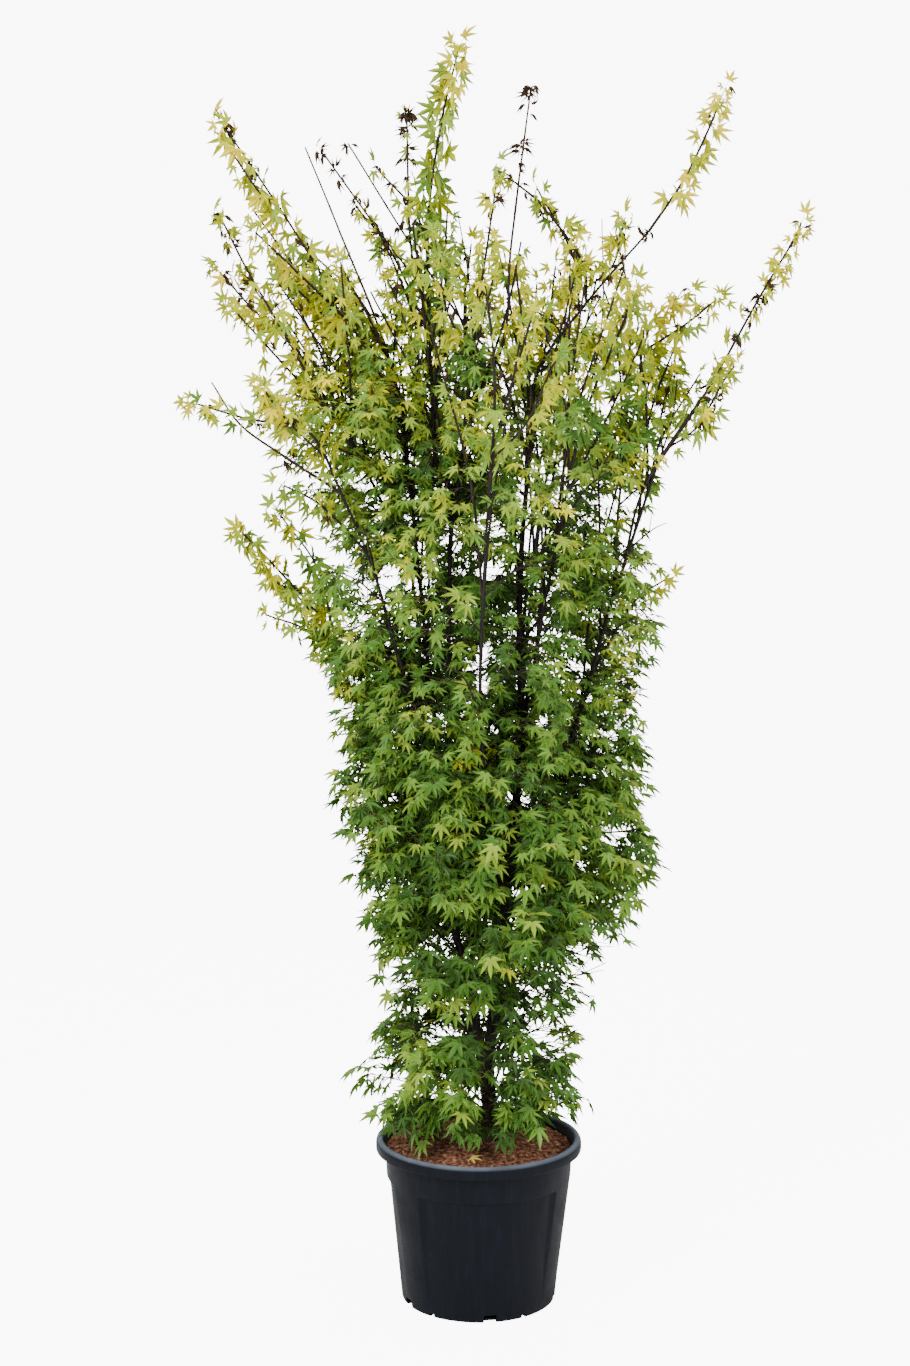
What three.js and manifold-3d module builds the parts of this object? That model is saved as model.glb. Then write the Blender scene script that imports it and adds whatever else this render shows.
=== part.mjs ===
// A potted Japanese maple, about 2.5 m tall, in a 35 litre nursery pot.
// Millimetres, +Z up. The origin is the middle of the pot's flat underside,
// and -Y is the side the plant is usually looked at from.
import * as THREE from 'three';
import { mergeVertices } from 'three/addons/utils/BufferGeometryUtils.js';
import Module from 'manifold-3d';

const wasm = await Module();
wasm.setup();

// ---------------------------------------------------------------- sizes
const GAP = 0.3; // clear space between any two pieces

// The pot: a moulded nursery container with a rolled lip and three panels.
const POT_HEIGHT = 330;
const POT_BASE_RADIUS = 155;
const POT_BODY_RADIUS = 179; // top of the recessed panels
const POT_COLLAR_LOW = 248;
const POT_COLLAR_RADIUS = 185;
const POT_LIP_LOW = 305;
const POT_NECK_RADIUS = 188; // top of the collar, under the lip
const POT_LIP_RADIUS = 206.5;
const POT_MOUTH_RADIUS = 192;
const POT_WALL = 3.5;
const POT_FLOOR = 5;
const POT_ROUND = 42; // facets round the pot
const RIB_DIRECTIONS = [-48, 62, 187]; // degrees from the front, + to the right
const RIB_WIDTH = 21; // degrees
const RIB_LOW = 14;
const NOTCH_FIRST = 8; // degrees from the front
const NOTCH_COUNT = 5;
const NOTCH_WIDTH = 25;
const NOTCH_HEIGHT = 16;

// The soil: bark compost, slightly heaped round the trunk.
const SOIL_TOP = 320;
const SOIL_EDGE = 311;
const SOIL_FLAT_RADIUS = 60;

// The trunk, from the soil to its fork.
const TRUNK_X = 19;
const TRUNK_Y = 10;
const FORK = [15, 8, 486];
const TRUNK_FLARE_RADIUS = 20;
const TRUNK_RADIUS = 13;
const TRUNK_FORK_RADIUS = 14.5;

// Leaves: three lobes and a ridge, with a narrow root that is sunk in the stem.
// Each stands for a few of the plant's own, which are 50 to 60 mm long.
const LEAF_TILT = 1.5; // how far a blade leans from level, as a slope
const LEAF_THICK = 0.034; // of the leaf's length, at the ridge
const LEAF_RIDGE = 0.2; // how far the thickest point is from the root
const LEAF_OUTLINE = [[1, 0], [0.38, 0.12], [0.64, 0.46], [0, 0], [0.64, -0.46], [0.38, -0.12]];

// Limbs: "on" is the limb each grows from, at its tip or out of its side, "r"
// the radii of its foot and tip, and "by" its foot, its bends and its tip.
const LIMBS = {
  right_stem: { on: 'trunk', r: [11.5, 4], by: [
    [18, 8, 474], [60, 18, 845], [84, 30, 1150], [80, 36, 1420], [102, 44, 1759]] },
  left_stem: { on: 'trunk', r: [8.5, 6], by: [
    [10, 7, 474], [-36, 0, 708], [-77, -10, 840], [-70, -20, 980], [-57, -26, 1140]] },
  centre_bough: { on: 'left_stem', tip: true, r: [5.8, 3], by: [
    [-57, -26, 1140], [-59, -36, 1330], [-55, -42, 1540], [-26, -38, 1715], [3, -30, 1817]] },
  leader: { on: 'centre_bough', share: 0.56, r: [4, 2.4], by: [
    [-55, -42, 1560], [-84, -34, 1680], [-99, -20, 1985]] },
  left_bough: { on: 'left_stem', share: 0.8, r: [5.5, 2.6], by: [
    [-67, -22, 1040], [-95, 0, 1235], [-131, 22, 1590], [-150, 26, 1776]] },
  upper_left_bough: { on: 'left_bough', share: 0.55, r: [3.6, 2.2], by: [
    [-118, 12, 1450], [-180, -14, 1580], [-240, -34, 1700], [-292, -48, 1775]] },
  outer_left_bough: { on: 'left_stem', share: 0.66, r: [4.8, 2.3], by: [
    [-72, -18, 930], [-112, -70, 1150], [-161, -96, 1322], [-205, -112, 1480], [-262, -124, 1620]] },
  low_left_bough: { on: 'left_stem', share: 0.5, r: [4.6, 2.3], by: [
    [-77, -10, 845], [-150, 40, 990], [-226, 66, 1150], [-271, 72, 1273]] },
  fore_bough: { on: 'right_stem', share: 0.5, r: [5, 2.4], by: [
    [84, 30, 1150], [102, -40, 1260], [124, -84, 1405], [150, -112, 1545], [171, -124, 1664]] },
  right_bough: { on: 'right_stem', share: 0.27, r: [6.2, 2.8], by: [
    [62, 18, 868], [120, 26, 985], [185, 10, 1140], [258, -14, 1403], [342, -40, 1672]] },
  olive_bough: { on: 'right_bough', share: 0.78, r: [3.4, 1.8], by: [
    [266, -16, 1430], [272, 30, 1560], [284, 48, 1690], [300, 52, 1880]] },
  right_arch: { on: 'right_stem', tip: true, r: [3.6, 2.2], by: [
    [102, 44, 1759], [118, 40, 1862], [216, 30, 1995], [328, 20, 2122]] },
  back_right_bough: { on: 'right_stem', share: 0.2, r: [5.6, 2.4], by: [
    [50, 16, 760], [78, 120, 1000], [104, 215, 1350], [150, 300, 1700]] },
  back_left_bough: { on: 'left_stem', share: 0.36, r: [5, 2.4], by: [
    [-60, -4, 780], [-104, 120, 1020], [-126, 220, 1360], [-176, 290, 1660]] },
  front_bough: { on: 'right_stem', share: 0.12, r: [5.2, 2.3], by: [
    [38, 12, 650], [22, -90, 900], [0, -176, 1250], [14, -226, 1620]] },
};

// Bare whips: last summer's shoots that carry no leaves.
const WHIPS = {
  left_whip: { on: 'left_bough', tip: true, r: [2.6, 1.3], by: [
    [-150, 26, 1776], [-184, 44, 1905], [-258, 66, 2090], [-340, 80, 2288]] },
  crossing_whip: { on: 'right_stem', share: 0.9, r: [2.6, 1.3], by: [
    [92, 41, 1690], [42, 92, 1862], [-27, 104, 1946], [-140, 112, 2112], [-258, 116, 2300]] },
  upright_whip: { on: 'centre_bough', tip: true, r: [2.8, 1.3], by: [
    [3, -30, 1817], [48, -36, 1920], [60, -30, 2090], [97, -16, 2388]] },
  low_left_whip: { on: 'outer_left_bough', tip: true, r: [2.3, 1.2], by: [
    [-262, -124, 1620], [-370, -134, 1690], [-452, -138, 1750], [-504, -140, 1828]] },
};

// Leafy shoots: long thin stems with leaves in pairs. "leaf" is a leaf's
// length, "bare" the share of the stem without leaves, and a fork leaves the
// stem at the share "from".
const SHOOTS = {
  crown_tip: { on: 'leader', tip: true, leaf: 76, pairs: 8, by: [
    [-99, -20, 1985], [-98, -14, 2150], [-74, -10, 2320], [-42, -6, 2454]], forks: [] },
  dry_shoots: { on: 'leader', share: 0.86, leaf: 52, pairs: 3, bare: 0.5, by: [
    [-98, -24, 1940], [-132, 0, 2090], [-140, 14, 2342]],
    forks: [{ from: 0.3, leaf: 54, pairs: 3, bare: 0.25, to: [[-208, 6, 2140], [-296, 16, 2262]] }] },
  left_tip_shoot: { on: 'left_bough', share: 0.93, leaf: 76, pairs: 9, bare: 0.12, by: [
    [-146, 26, 1740], [-206, -4, 1868], [-345, -24, 2103], [-488, -30, 2316]],
    forks: [{ from: 0.16, leaf: 74, pairs: 3, bare: 0.3, to: [[-280, 60, 1960], [-372, 70, 2050]] }] },
  left_outer_shoot: { on: 'upper_left_bough', tip: true, leaf: 68, pairs: 4, by: [
    [-292, -48, 1775], [-368, -76, 1915], [-440, -84, 2040], [-490, -86, 2140]],
    forks: [{ from: 0.3, leaf: 68, pairs: 3, bare: 0.2, to: [[-440, -30, 1975], [-492, -20, 2035]] }] },
  left_level_shoot: { on: 'outer_left_bough', share: 0.94, leaf: 64, pairs: 4, by: [
    [-250, -122, 1592], [-318, -186, 1735], [-426, -206, 1758], [-522, -206, 1786]],
    forks: [{ from: 0.2, leaf: 47, pairs: 3, bare: 0.3, to: [[-350, -230, 1750], [-400, -240, 1815]] }] },
  low_left_shoot: { on: 'low_left_bough', tip: true, leaf: 76, pairs: 5, by: [
    [-271, 72, 1273], [-312, 60, 1365], [-392, 46, 1460], [-462, 40, 1535]],
    forks: [{ from: 0.1, leaf: 68, pairs: 3, bare: 0.2, to: [[-322, 120, 1460], [-398, 130, 1570]] }] },
  far_right_shoot: { on: 'right_bough', tip: true, leaf: 60, pairs: 7, bare: 0.2, by: [
    [342, -40, 1672], [436, -52, 1815], [532, -60, 1990], [604, -64, 2112]],
    forks: [
      { from: 0.08, leaf: 64, pairs: 3, bare: 0.45, to: [[410, -110, 1745], [462, -126, 1838]] },
      { from: 0.04, leaf: 54, pairs: 3, bare: 0.35, to: [[352, 0, 1760], [372, 16, 1836]] }] },
  right_arch_tip: { on: 'right_arch', tip: true, leaf: 64, pairs: 4, bare: 0.15, by: [
    [328, 20, 2122], [392, 16, 2216], [438, 14, 2310], [462, 12, 2372]], forks: [] },
  right_fan: { on: 'right_arch', share: 0.62, leaf: 72, pairs: 4, bare: 0.15, by: [
    [208, 31, 1985], [196, -20, 2060], [120, -50, 2160], [66, -60, 2205]],
    forks: [{ from: 0.12, leaf: 70, pairs: 3, bare: 0.2, to: [[252, -70, 2050], [268, -90, 2120]] }] },
  right_feathers: { on: 'olive_bough', tip: true, leaf: 72, pairs: 3, by: [
    [300, 52, 1880], [352, 44, 1912], [410, 40, 1950], [456, 38, 1988]],
    forks: [{ from: 0.12, leaf: 73, pairs: 3, bare: 0.3, to: [[348, 110, 1960], [398, 126, 2000]] }] },
  fore_shoot: { on: 'fore_bough', tip: true, leaf: 80, pairs: 4, by: [
    [171, -124, 1664], [208, -140, 1800], [262, -140, 1925], [282, -138, 1990]],
    forks: [{ from: 0.1, leaf: 75, pairs: 3, bare: 0.25, to: [[156, -180, 1790], [118, -190, 1930]] }] },
  centre_shoot: { on: 'centre_bough', share: 0.9, leaf: 74, pairs: 4, bare: 0.2, by: [
    [-12, -34, 1770], [-8, -84, 1930], [10, -96, 2060], [32, -100, 2210]],
    forks: [{ from: 0.2, leaf: 77, pairs: 3, bare: 0.2, to: [[-62, -130, 1960], [-78, -140, 2060]] }] },
  back_right_shoot: { on: 'back_right_bough', tip: true, leaf: 90, pairs: 5, by: [
    [150, 300, 1700], [172, 350, 1860], [190, 390, 2010], [214, 420, 2120]],
    forks: [{ from: 0.15, leaf: 82, pairs: 3, bare: 0.2, to: [[96, 390, 1850], [70, 440, 1950]] }] },
  back_left_shoot: { on: 'back_left_bough', tip: true, leaf: 90, pairs: 5, by: [
    [-176, 290, 1660], [-206, 330, 1800], [-236, 372, 1940], [-262, 400, 2040]],
    forks: [{ from: 0.15, leaf: 82, pairs: 3, bare: 0.2, to: [[-120, 360, 1800], [-92, 410, 1905]] }] },
  front_shoot: { on: 'front_bough', tip: true, leaf: 88, pairs: 4, by: [
    [14, -226, 1620], [24, -286, 1760], [20, -336, 1890], [6, -366, 1990]],
    forks: [{ from: 0.15, leaf: 80, pairs: 3, bare: 0.2, to: [[80, -340, 1750], [120, -390, 1840]] }] },
};

// Leafy sprays that stand out sideways from a limb and thicken the crown.
// Each row: the share of the limb it leaves at, its direction in degrees from
// the right (90 is the back), how far out it reaches, and how much it rises.
const SPRAYS = {
  trunk: [[0.16, -150, 165, 90], [0.3, -35, 140, 110], [0.45, 62, 150, 110], [0.62, 140, 170, 130], [0.8, -95, 130, 120]],
  right_stem: [[0.22, -5, 205, 60], [0.14, 75, 215, 80], [0.3, -70, 230, 90], [0.42, 20, 165, 130], [0.66, -20, 150, 130]],
  left_stem: [[0.2, 120, 150, 60], [0.4, -110, 215, 80], [0.62, 165, 120, 90], [0.84, -150, 145, 120]],
  right_bough: [[0.34, -60, 165, 90], [0.74, -110, 110, 100]],
  fore_bough: [[0.75, -60, 175, 120]],
  front_bough: [[0.62, -110, 160, 110]],
  back_right_bough: [[0.45, 80, 180, 90], [0.75, 30, 180, 130]],
  back_left_bough: [[0.45, 110, 180, 90]],
  outer_left_bough: [[0.72, -100, 165, 120]],
};
const SPRAY_LEAF = 122;
const SPRAY_STEM_RADIUS = 3;
const SPRAY_SIDE = 118; // longest side twig of a spray
const TWIG_RADIUS = 1.2;
const SHOOT_RADIUS = 2.3;
const FORK_RADIUS = 1.7;
const TIP_RADIUS = 1;

// ---------------------------------------------------------------- looks
const looks = (color, roughness) => new THREE.MeshStandardMaterial({ color, roughness, metalness: 0 });
const potPlastic = looks(0x1b1f27, 0.62);
const soilBark = looks(0x5b3a28, 0.97);
const oldBark = looks(0x2f2722, 0.85);
const youngBark = looks(0x4a4a2c, 0.75);
const whipBark = looks(0x4b2f2a, 0.7);
const deepLeaf = looks(0x3f7a2c, 0.6);
const goldLeaf = looks(0xa8b23c, 0.6);

// ---------------------------------------------------------------- solids
// A seeded run of numbers between 0 and 1, the same on every machine.
function seeded(seed) {
  let state = seed >>> 0;
  return () => {
    state = (Math.imul(state, 1664525) + 1013904223) >>> 0;
    return state / 4294967296;
  };
}

function solidOf(geometry) {
  geometry.deleteAttribute('normal');
  geometry.deleteAttribute('uv');
  const merged = mergeVertices(geometry, 1e-4);
  return new wasm.Manifold(new wasm.Mesh({
    numProp: 3,
    vertProperties: new Float32Array(merged.attributes.position.array),
    triVerts: new Uint32Array(merged.index.array),
  }));
}

function geometryOf(solid) {
  const mesh = solid.getMesh();
  const geometry = new THREE.BufferGeometry();
  geometry.setAttribute('position', new THREE.BufferAttribute(new Float32Array(mesh.vertProperties), 3));
  geometry.setIndex(new THREE.BufferAttribute(new Uint32Array(mesh.triVerts), 1));
  geometry.computeVertexNormals();
  return geometry;
}

// Only the largest body is kept, so a loose scrap never reaches a piece.
function oneBody(solid) {
  const bodies = solid.decompose();
  return bodies.sort((a, b) => b.volume() - a.volume())[0];
}

function lathe(profile, facets) {
  const points = profile.map(([r, z]) => new THREE.Vector2(r, z));
  const geometry = new THREE.LatheGeometry(points, facets);
  geometry.rotateX(Math.PI / 2);
  return solidOf(geometry);
}

// ---------------------------------------------------------------- limbs
const vec = (p) => new THREE.Vector3(p[0], p[1], p[2]);

function routeOf(stations) {
  return new THREE.CatmullRomCurve3(stations.map(vec), false, 'catmullrom', 0.5);
}

// The two directions across a limb at one point of it.
function across(tangent, level) {
  const out = new THREE.Vector3().crossVectors(tangent, level).normalize();
  return [out, new THREE.Vector3().crossVectors(tangent, out)];
}

function levelFor(route) {
  const chord = route.getPoint(1).sub(route.getPoint(0)).normalize();
  return Math.abs(chord.y) < 0.7 ? new THREE.Vector3(0, 1, 0) : new THREE.Vector3(1, 0, 0);
}

// A closed tube along a route whose radius follows a rule.
function tube(route, radiusAt, sides, rings, start = 0) {
  const level = levelFor(route);
  const points = [];
  for (let i = 0; i <= rings; i++) {
    const t = start + (1 - start) * i / rings;
    const centre = route.getPoint(t);
    const [a, b] = across(route.getTangent(t), level);
    for (let k = 0; k < sides; k++) {
      const angle = 2 * Math.PI * k / sides;
      points.push(centre.clone()
        .addScaledVector(a, radiusAt(t) * Math.cos(angle))
        .addScaledVector(b, radiusAt(t) * Math.sin(angle)));
    }
  }
  const faces = [];
  for (let i = 0; i < rings; i++) {
    for (let k = 0; k < sides; k++) {
      const p = i * sides + k;
      const q = i * sides + (k + 1) % sides;
      faces.push(p, q, q + sides, p, q + sides, p + sides);
    }
  }
  const last = rings * sides;
  for (let k = 1; k < sides - 1; k++) {
    faces.push(0, k + 1, k, last, last + k, last + k + 1);
  }
  const geometry = new THREE.BufferGeometry().setFromPoints(points);
  geometry.setIndex(faces);
  return solidOf(geometry);
}

const taper = (r0, r1, more = 0) => (t) => r0 + (r1 - r0) * t + more;

const grown = {}; // every limb by name: its route, its radii, its solid and a fatter one

function fatSolid(route, radiusAt, sides, rings) {
  return tube(route, (t) => (radiusAt(t) + GAP + 0.02) / Math.cos(Math.PI / sides), sides, rings);
}

function growLimb(name, plan, sides, parents) {
  const route = routeOf(plan.by);
  const rings = (plan.by.length - 1) * 2;
  const radiusAt = taper(plan.r[0], plan.r[1]);
  let solid = tube(route, radiusAt, sides, rings, plan.tip ? 0.0015 : 0);
  for (const parent of parents) {
    if (grown[parent]) solid = solid.subtract(grown[parent].fat);
  }
  grown[name] = { route, radiusAt, solid: oneBody(solid), fat: fatSolid(route, radiusAt, sides, rings) };
}

// ---------------------------------------------------------------- pot and soil
function wedge(direction, width, low, high, reach) {
  const shape = new THREE.Shape();
  const turn = (direction - 90) * Math.PI / 180;
  const half = width * Math.PI / 360;
  shape.moveTo(0, 0);
  shape.lineTo(reach * Math.cos(turn - half), reach * Math.sin(turn - half));
  shape.lineTo(reach * Math.cos(turn + half), reach * Math.sin(turn + half));
  shape.closePath();
  const geometry = new THREE.ExtrudeGeometry(shape, { depth: high - low, bevelEnabled: false });
  geometry.translate(0, 0, low);
  return solidOf(geometry);
}

function makePot() {
  const body = lathe([
    [0, 0], [POT_BASE_RADIUS - 4, 0], [POT_BASE_RADIUS, 4],
    [POT_BODY_RADIUS, POT_COLLAR_LOW], [POT_COLLAR_RADIUS, POT_COLLAR_LOW + 6],
    [POT_NECK_RADIUS, POT_LIP_LOW], [POT_LIP_RADIUS - 2, POT_LIP_LOW],
    [POT_LIP_RADIUS, POT_LIP_LOW + 3], [POT_LIP_RADIUS, POT_HEIGHT - 9],
    [POT_LIP_RADIUS - 3, POT_HEIGHT - 2], [POT_LIP_RADIUS - 8, POT_HEIGHT], [0, POT_HEIGHT],
  ], POT_ROUND);
  const ribRound = lathe([
    [0, RIB_LOW], [POT_BASE_RADIUS + 2, RIB_LOW], [POT_BASE_RADIUS + 6.5, RIB_LOW + 10],
    [POT_COLLAR_RADIUS - 0.5, POT_COLLAR_LOW + 4], [0, POT_COLLAR_LOW + 4],
  ], POT_ROUND);
  let pot = body;
  for (const direction of RIB_DIRECTIONS) {
    pot = pot.add(ribRound.intersect(wedge(direction, RIB_WIDTH, RIB_LOW, POT_COLLAR_LOW + 4, 300)));
  }
  const floorRadius = POT_BASE_RADIUS - POT_WALL;
  const hollow = lathe([
    [0, POT_FLOOR], [floorRadius, POT_FLOOR],
    [POT_BODY_RADIUS - POT_WALL, POT_COLLAR_LOW - 4],
    [POT_COLLAR_RADIUS - POT_WALL, POT_LIP_LOW - 4],
    [POT_MOUTH_RADIUS - 5, POT_HEIGHT - 10], [POT_MOUTH_RADIUS, POT_HEIGHT + 1], [0, POT_HEIGHT + 1],
  ], POT_ROUND);
  pot = pot.subtract(hollow);
  for (let i = 0; i < NOTCH_COUNT; i++) {
    const notch = new THREE.BoxGeometry(NOTCH_WIDTH, 24, NOTCH_HEIGHT + 4);
    notch.translate(0, -POT_BASE_RADIUS, NOTCH_HEIGHT / 2 - 2);
    notch.rotateZ((NOTCH_FIRST + 360 * i / NOTCH_COUNT) * Math.PI / 180);
    pot = pot.subtract(solidOf(notch));
  }
  return oneBody(pot);
}

function makeSoil() {
  const floorRadius = POT_BASE_RADIUS - POT_WALL;
  return lathe([
    [0, POT_FLOOR + GAP], [floorRadius - GAP - 1, POT_FLOOR + GAP],
    [POT_BODY_RADIUS - POT_WALL - GAP - 0.4, POT_COLLAR_LOW - 4],
    [POT_COLLAR_RADIUS - POT_WALL - GAP - 0.4, POT_LIP_LOW - 4],
    [POT_COLLAR_RADIUS - POT_WALL - GAP + 0.6, SOIL_EDGE],
    [SOIL_FLAT_RADIUS + 60, SOIL_TOP - 4], [SOIL_FLAT_RADIUS, SOIL_TOP], [0, SOIL_TOP],
  ], 28);
}

// ---------------------------------------------------------------- leaves and twigs
function leafFrame(leaf) {
  const side = new THREE.Vector3().crossVectors(leaf.up, leaf.along).normalize();
  const up = new THREE.Vector3().crossVectors(leaf.along, side);
  return (from, u, v, w) => from.clone()
    .addScaledVector(leaf.along, u).addScaledVector(side, v).addScaledVector(up, w);
}

function leafSolid(leaf, more = 0) {
  const at = leafFrame(leaf);
  const size = leaf.size * (1 + more * 0.03);
  const points = LEAF_OUTLINE.map(([u, v]) => at(leaf.base, u * size, v * size, -more * 0.35));
  points.push(at(leaf.base, LEAF_RIDGE * size, 0, LEAF_THICK * leaf.size + more * 0.35));
  const faces = [2, 1, 3, 1, 5, 3, 1, 0, 5, 5, 4, 3]; // the flat underside
  for (let k = 0; k < 6; k++) faces.push(6, k, (k + 1) % 6);
  const geometry = new THREE.BufferGeometry().setFromPoints(points);
  geometry.setIndex(faces);
  return solidOf(geometry);
}

// A three-sided twig that opens into a leaf at its end, as one closed shape.
function leafyTwig(from, leaf, more = 0) {
  const at = leafFrame(leaf);
  const size = leaf.size * (1 + more * 0.03);
  const points = [];
  for (const [foot, r] of [[from, TWIG_RADIUS + more * 0.5], [leaf.base, TIP_RADIUS + more * 0.5]]) {
    points.push(at(foot, 0, 0.87 * r, -0.5 * r), at(foot, 0, -0.87 * r, -0.5 * r), at(foot, 0, 0, r));
  }
  const below = -0.5 * (TIP_RADIUS + more * 0.5);
  for (const k of [2, 1, 0, 5, 4]) {
    points.push(at(leaf.base, LEAF_OUTLINE[k][0] * size, LEAF_OUTLINE[k][1] * size, below));
  }
  points.push(at(leaf.base, LEAF_RIDGE * size, 0, LEAF_THICK * leaf.size + more * 0.35));
  const faces = [
    0, 1, 2, 0, 4, 1, 0, 3, 4, 1, 5, 2, 1, 4, 5, 2, 3, 0, 2, 5, 3, // root and twig
    3, 7, 4, 3, 6, 7, 4, 7, 9, 4, 9, 10, 7, 8, 9, // underside
    3, 5, 11, 3, 11, 6, 6, 11, 7, 7, 11, 8, 8, 11, 9, 9, 11, 10, 10, 11, 4, 4, 11, 5,
  ];
  const geometry = new THREE.BufferGeometry().setFromPoints(points);
  geometry.setIndex(faces);
  return solidOf(geometry);
}

// The direction of a side shoot: it opens out of the stem at an angle, from
// one of the stem's three sides, leaning a little to one hand of that side.
function sideways(tangent, level, facet, lean, opening) {
  const turn = 2 * Math.PI * (facet + 0.5) / 3 + lean;
  const [a, b] = across(tangent, level);
  return tangent.clone().multiplyScalar(Math.cos(opening))
    .addScaledVector(a, Math.sin(opening) * Math.cos(turn))
    .addScaledVector(b, Math.sin(opening) * Math.sin(turn))
    .normalize();
}

// A leaf hangs outwards and down from its twig, with its blade turned any way.
function leafAt(base, direction, size, random) {
  const along = direction.clone();
  along.z -= 0.35 + 0.4 * random();
  along.normalize();
  const turn = 2 * Math.PI * random();
  const up = new THREE.Vector3(LEAF_TILT * Math.cos(turn), LEAF_TILT * Math.sin(turn), 1);
  return { base, along, up, size: size * (0.85 + 0.3 * random()) };
}

// Leaf pairs along a stem, each pair turned a third from the last.
function leafPairs(route, plan, random) {
  const level = levelFor(route);
  const leaves = [];
  const first = Math.floor(3 * random());
  const bare = plan.bare ?? 0.08;
  const step = (1 - bare) / plan.pairs;
  for (let i = 0; i < plan.pairs; i++) {
    for (const half of [0, 1]) {
      const t = bare + step * (i + 0.3 + 0.35 * half);
      const lean = (half ? 0.35 : -0.35) + 0.2 * (random() - 0.5);
      const out = sideways(route.getTangent(t), level, first + i + half, lean, 1.05);
      leaves.push(leafAt(route.getPoint(t), out, plan.leaf, random));
    }
  }
  leaves.push(leafAt(route.getPoint(0.975), route.getTangent(1), plan.leaf, random));
  return leaves;
}

// A spray: two opposite pairs of side twigs, leaves along them and at the tips.
function sprayParts(route, side, leafSize, random) {
  const level = levelFor(route);
  const parts = [];
  const first = Math.floor(3 * random());
  const beside = (base, direction, half) => {
    const flat = new THREE.Vector3().crossVectors(direction, new THREE.Vector3(0, 0, 1)).normalize();
    const out = direction.clone().multiplyScalar(0.5).addScaledVector(flat, half).normalize();
    return leafAt(base, out, leafSize, random);
  };
  [0.38, 0.7].forEach((share, i) => {
    for (const half of [0, 1]) {
      const t = share + 0.05 * half;
      const lean = (half ? 0.35 : -0.35) + 0.2 * (random() - 0.5);
      const out = sideways(route.getTangent(t), level, first + i + half, lean, 0.95);
      out.z = 0.6 * out.z + 0.06;
      out.normalize();
      const from = route.getPoint(t);
      const length = side * (1.15 - 0.6 * t) * (0.8 + 0.4 * random());
      const tip = from.clone().addScaledVector(out, length);
      const leaves = half ? [beside(from.clone().lerp(tip, 0.55), out, i ? -1 : 1)] : [];
      parts.push({ from, end: leafAt(tip, out, leafSize, random), leaves });
    }
  });
  const ahead = route.getTangent(1);
  parts.push({ leaves: [
    leafAt(route.getPoint(0.975), ahead, leafSize, random),
    beside(route.getPoint(0.88), ahead, first % 2 ? 1 : -1),
  ] });
  return parts;
}

// ---------------------------------------------------------------- room to grow
const taken = []; // every solid already in place: { owner, solid, box }

function take(owner, solid, isLeaf = false) {
  taken.push({ owner, solid, isLeaf, box: solid.boundingBox() });
}

// What a solid meets, passing over its own mass's stems and the twig it is on.
function touches(solid, owner, twig = null) {
  const box = solid.boundingBox();
  for (const other of taken) {
    if (other.owner === owner && (!other.isLeaf || other.solid === twig)) continue;
    let apart = false;
    for (let k = 0; k < 3; k++) {
      if (box.min[k] > other.box.max[k] || box.max[k] < other.box.min[k]) apart = true;
    }
    if (!apart && !solid.intersect(other.solid).isEmpty()) return other.owner;
  }
  return null;
}

// ---------------------------------------------------------------- the plant
const trunkRoute = routeOf([
  [TRUNK_X, TRUNK_Y, SOIL_TOP - 6], [TRUNK_X - 2, TRUNK_Y - 1, 400], FORK,
]);
const trunkRadius = (t) => TRUNK_RADIUS
  + (TRUNK_FLARE_RADIUS - TRUNK_RADIUS) * Math.max(0, 1 - t / 0.35) ** 2
  + (TRUNK_FORK_RADIUS - TRUNK_RADIUS) * Math.max(0, (t - 0.6) / 0.4);
const underTrunk = new THREE.BoxGeometry(120, 120, 40);
underTrunk.translate(TRUNK_X, TRUNK_Y, SOIL_TOP + GAP - 20);
grown.trunk = {
  route: trunkRoute,
  radiusAt: trunkRadius,
  solid: tube(trunkRoute, trunkRadius, 12, 10).subtract(solidOf(underTrunk)),
  fat: fatSolid(trunkRoute, trunkRadius, 12, 10),
};

for (const [name, plan] of Object.entries(LIMBS)) {
  const sides = plan.r[0] > 5 ? 6 : 5;
  const siblings = name === 'left_stem' ? ['trunk', 'right_stem'] : [plan.on];
  growLimb(name, plan, sides, siblings);
}
for (const [name, plan] of Object.entries(WHIPS)) growLimb(name, plan, 4, [plan.on]);

const pot = makePot();
const soil = makeSoil();
take('pot', pot);
take('soil', soil);
for (const [name, limb] of Object.entries(grown)) take(name, limb.solid);

// Every mass first claims its stems, so that no leaf of another cuts one off.
const masses = [];

function claim(name, on, route, radii, atTip) {
  const radiusAt = taper(radii[0], radii[1]);
  const rings = Math.max(2, route.points.length * 2 - 2);
  let solid = tube(route, radiusAt, 3, rings, atTip ? 0.004 : 0);
  solid = oneBody(solid.subtract(grown[on].fat));
  const hit = touches(tube(route, taper(radii[0], radii[1], 0.6), 3, rings, 0.08), on);
  if (hit) throw new Error(`the stem of ${name} meets ${hit}`);
  return solid;
}

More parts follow.
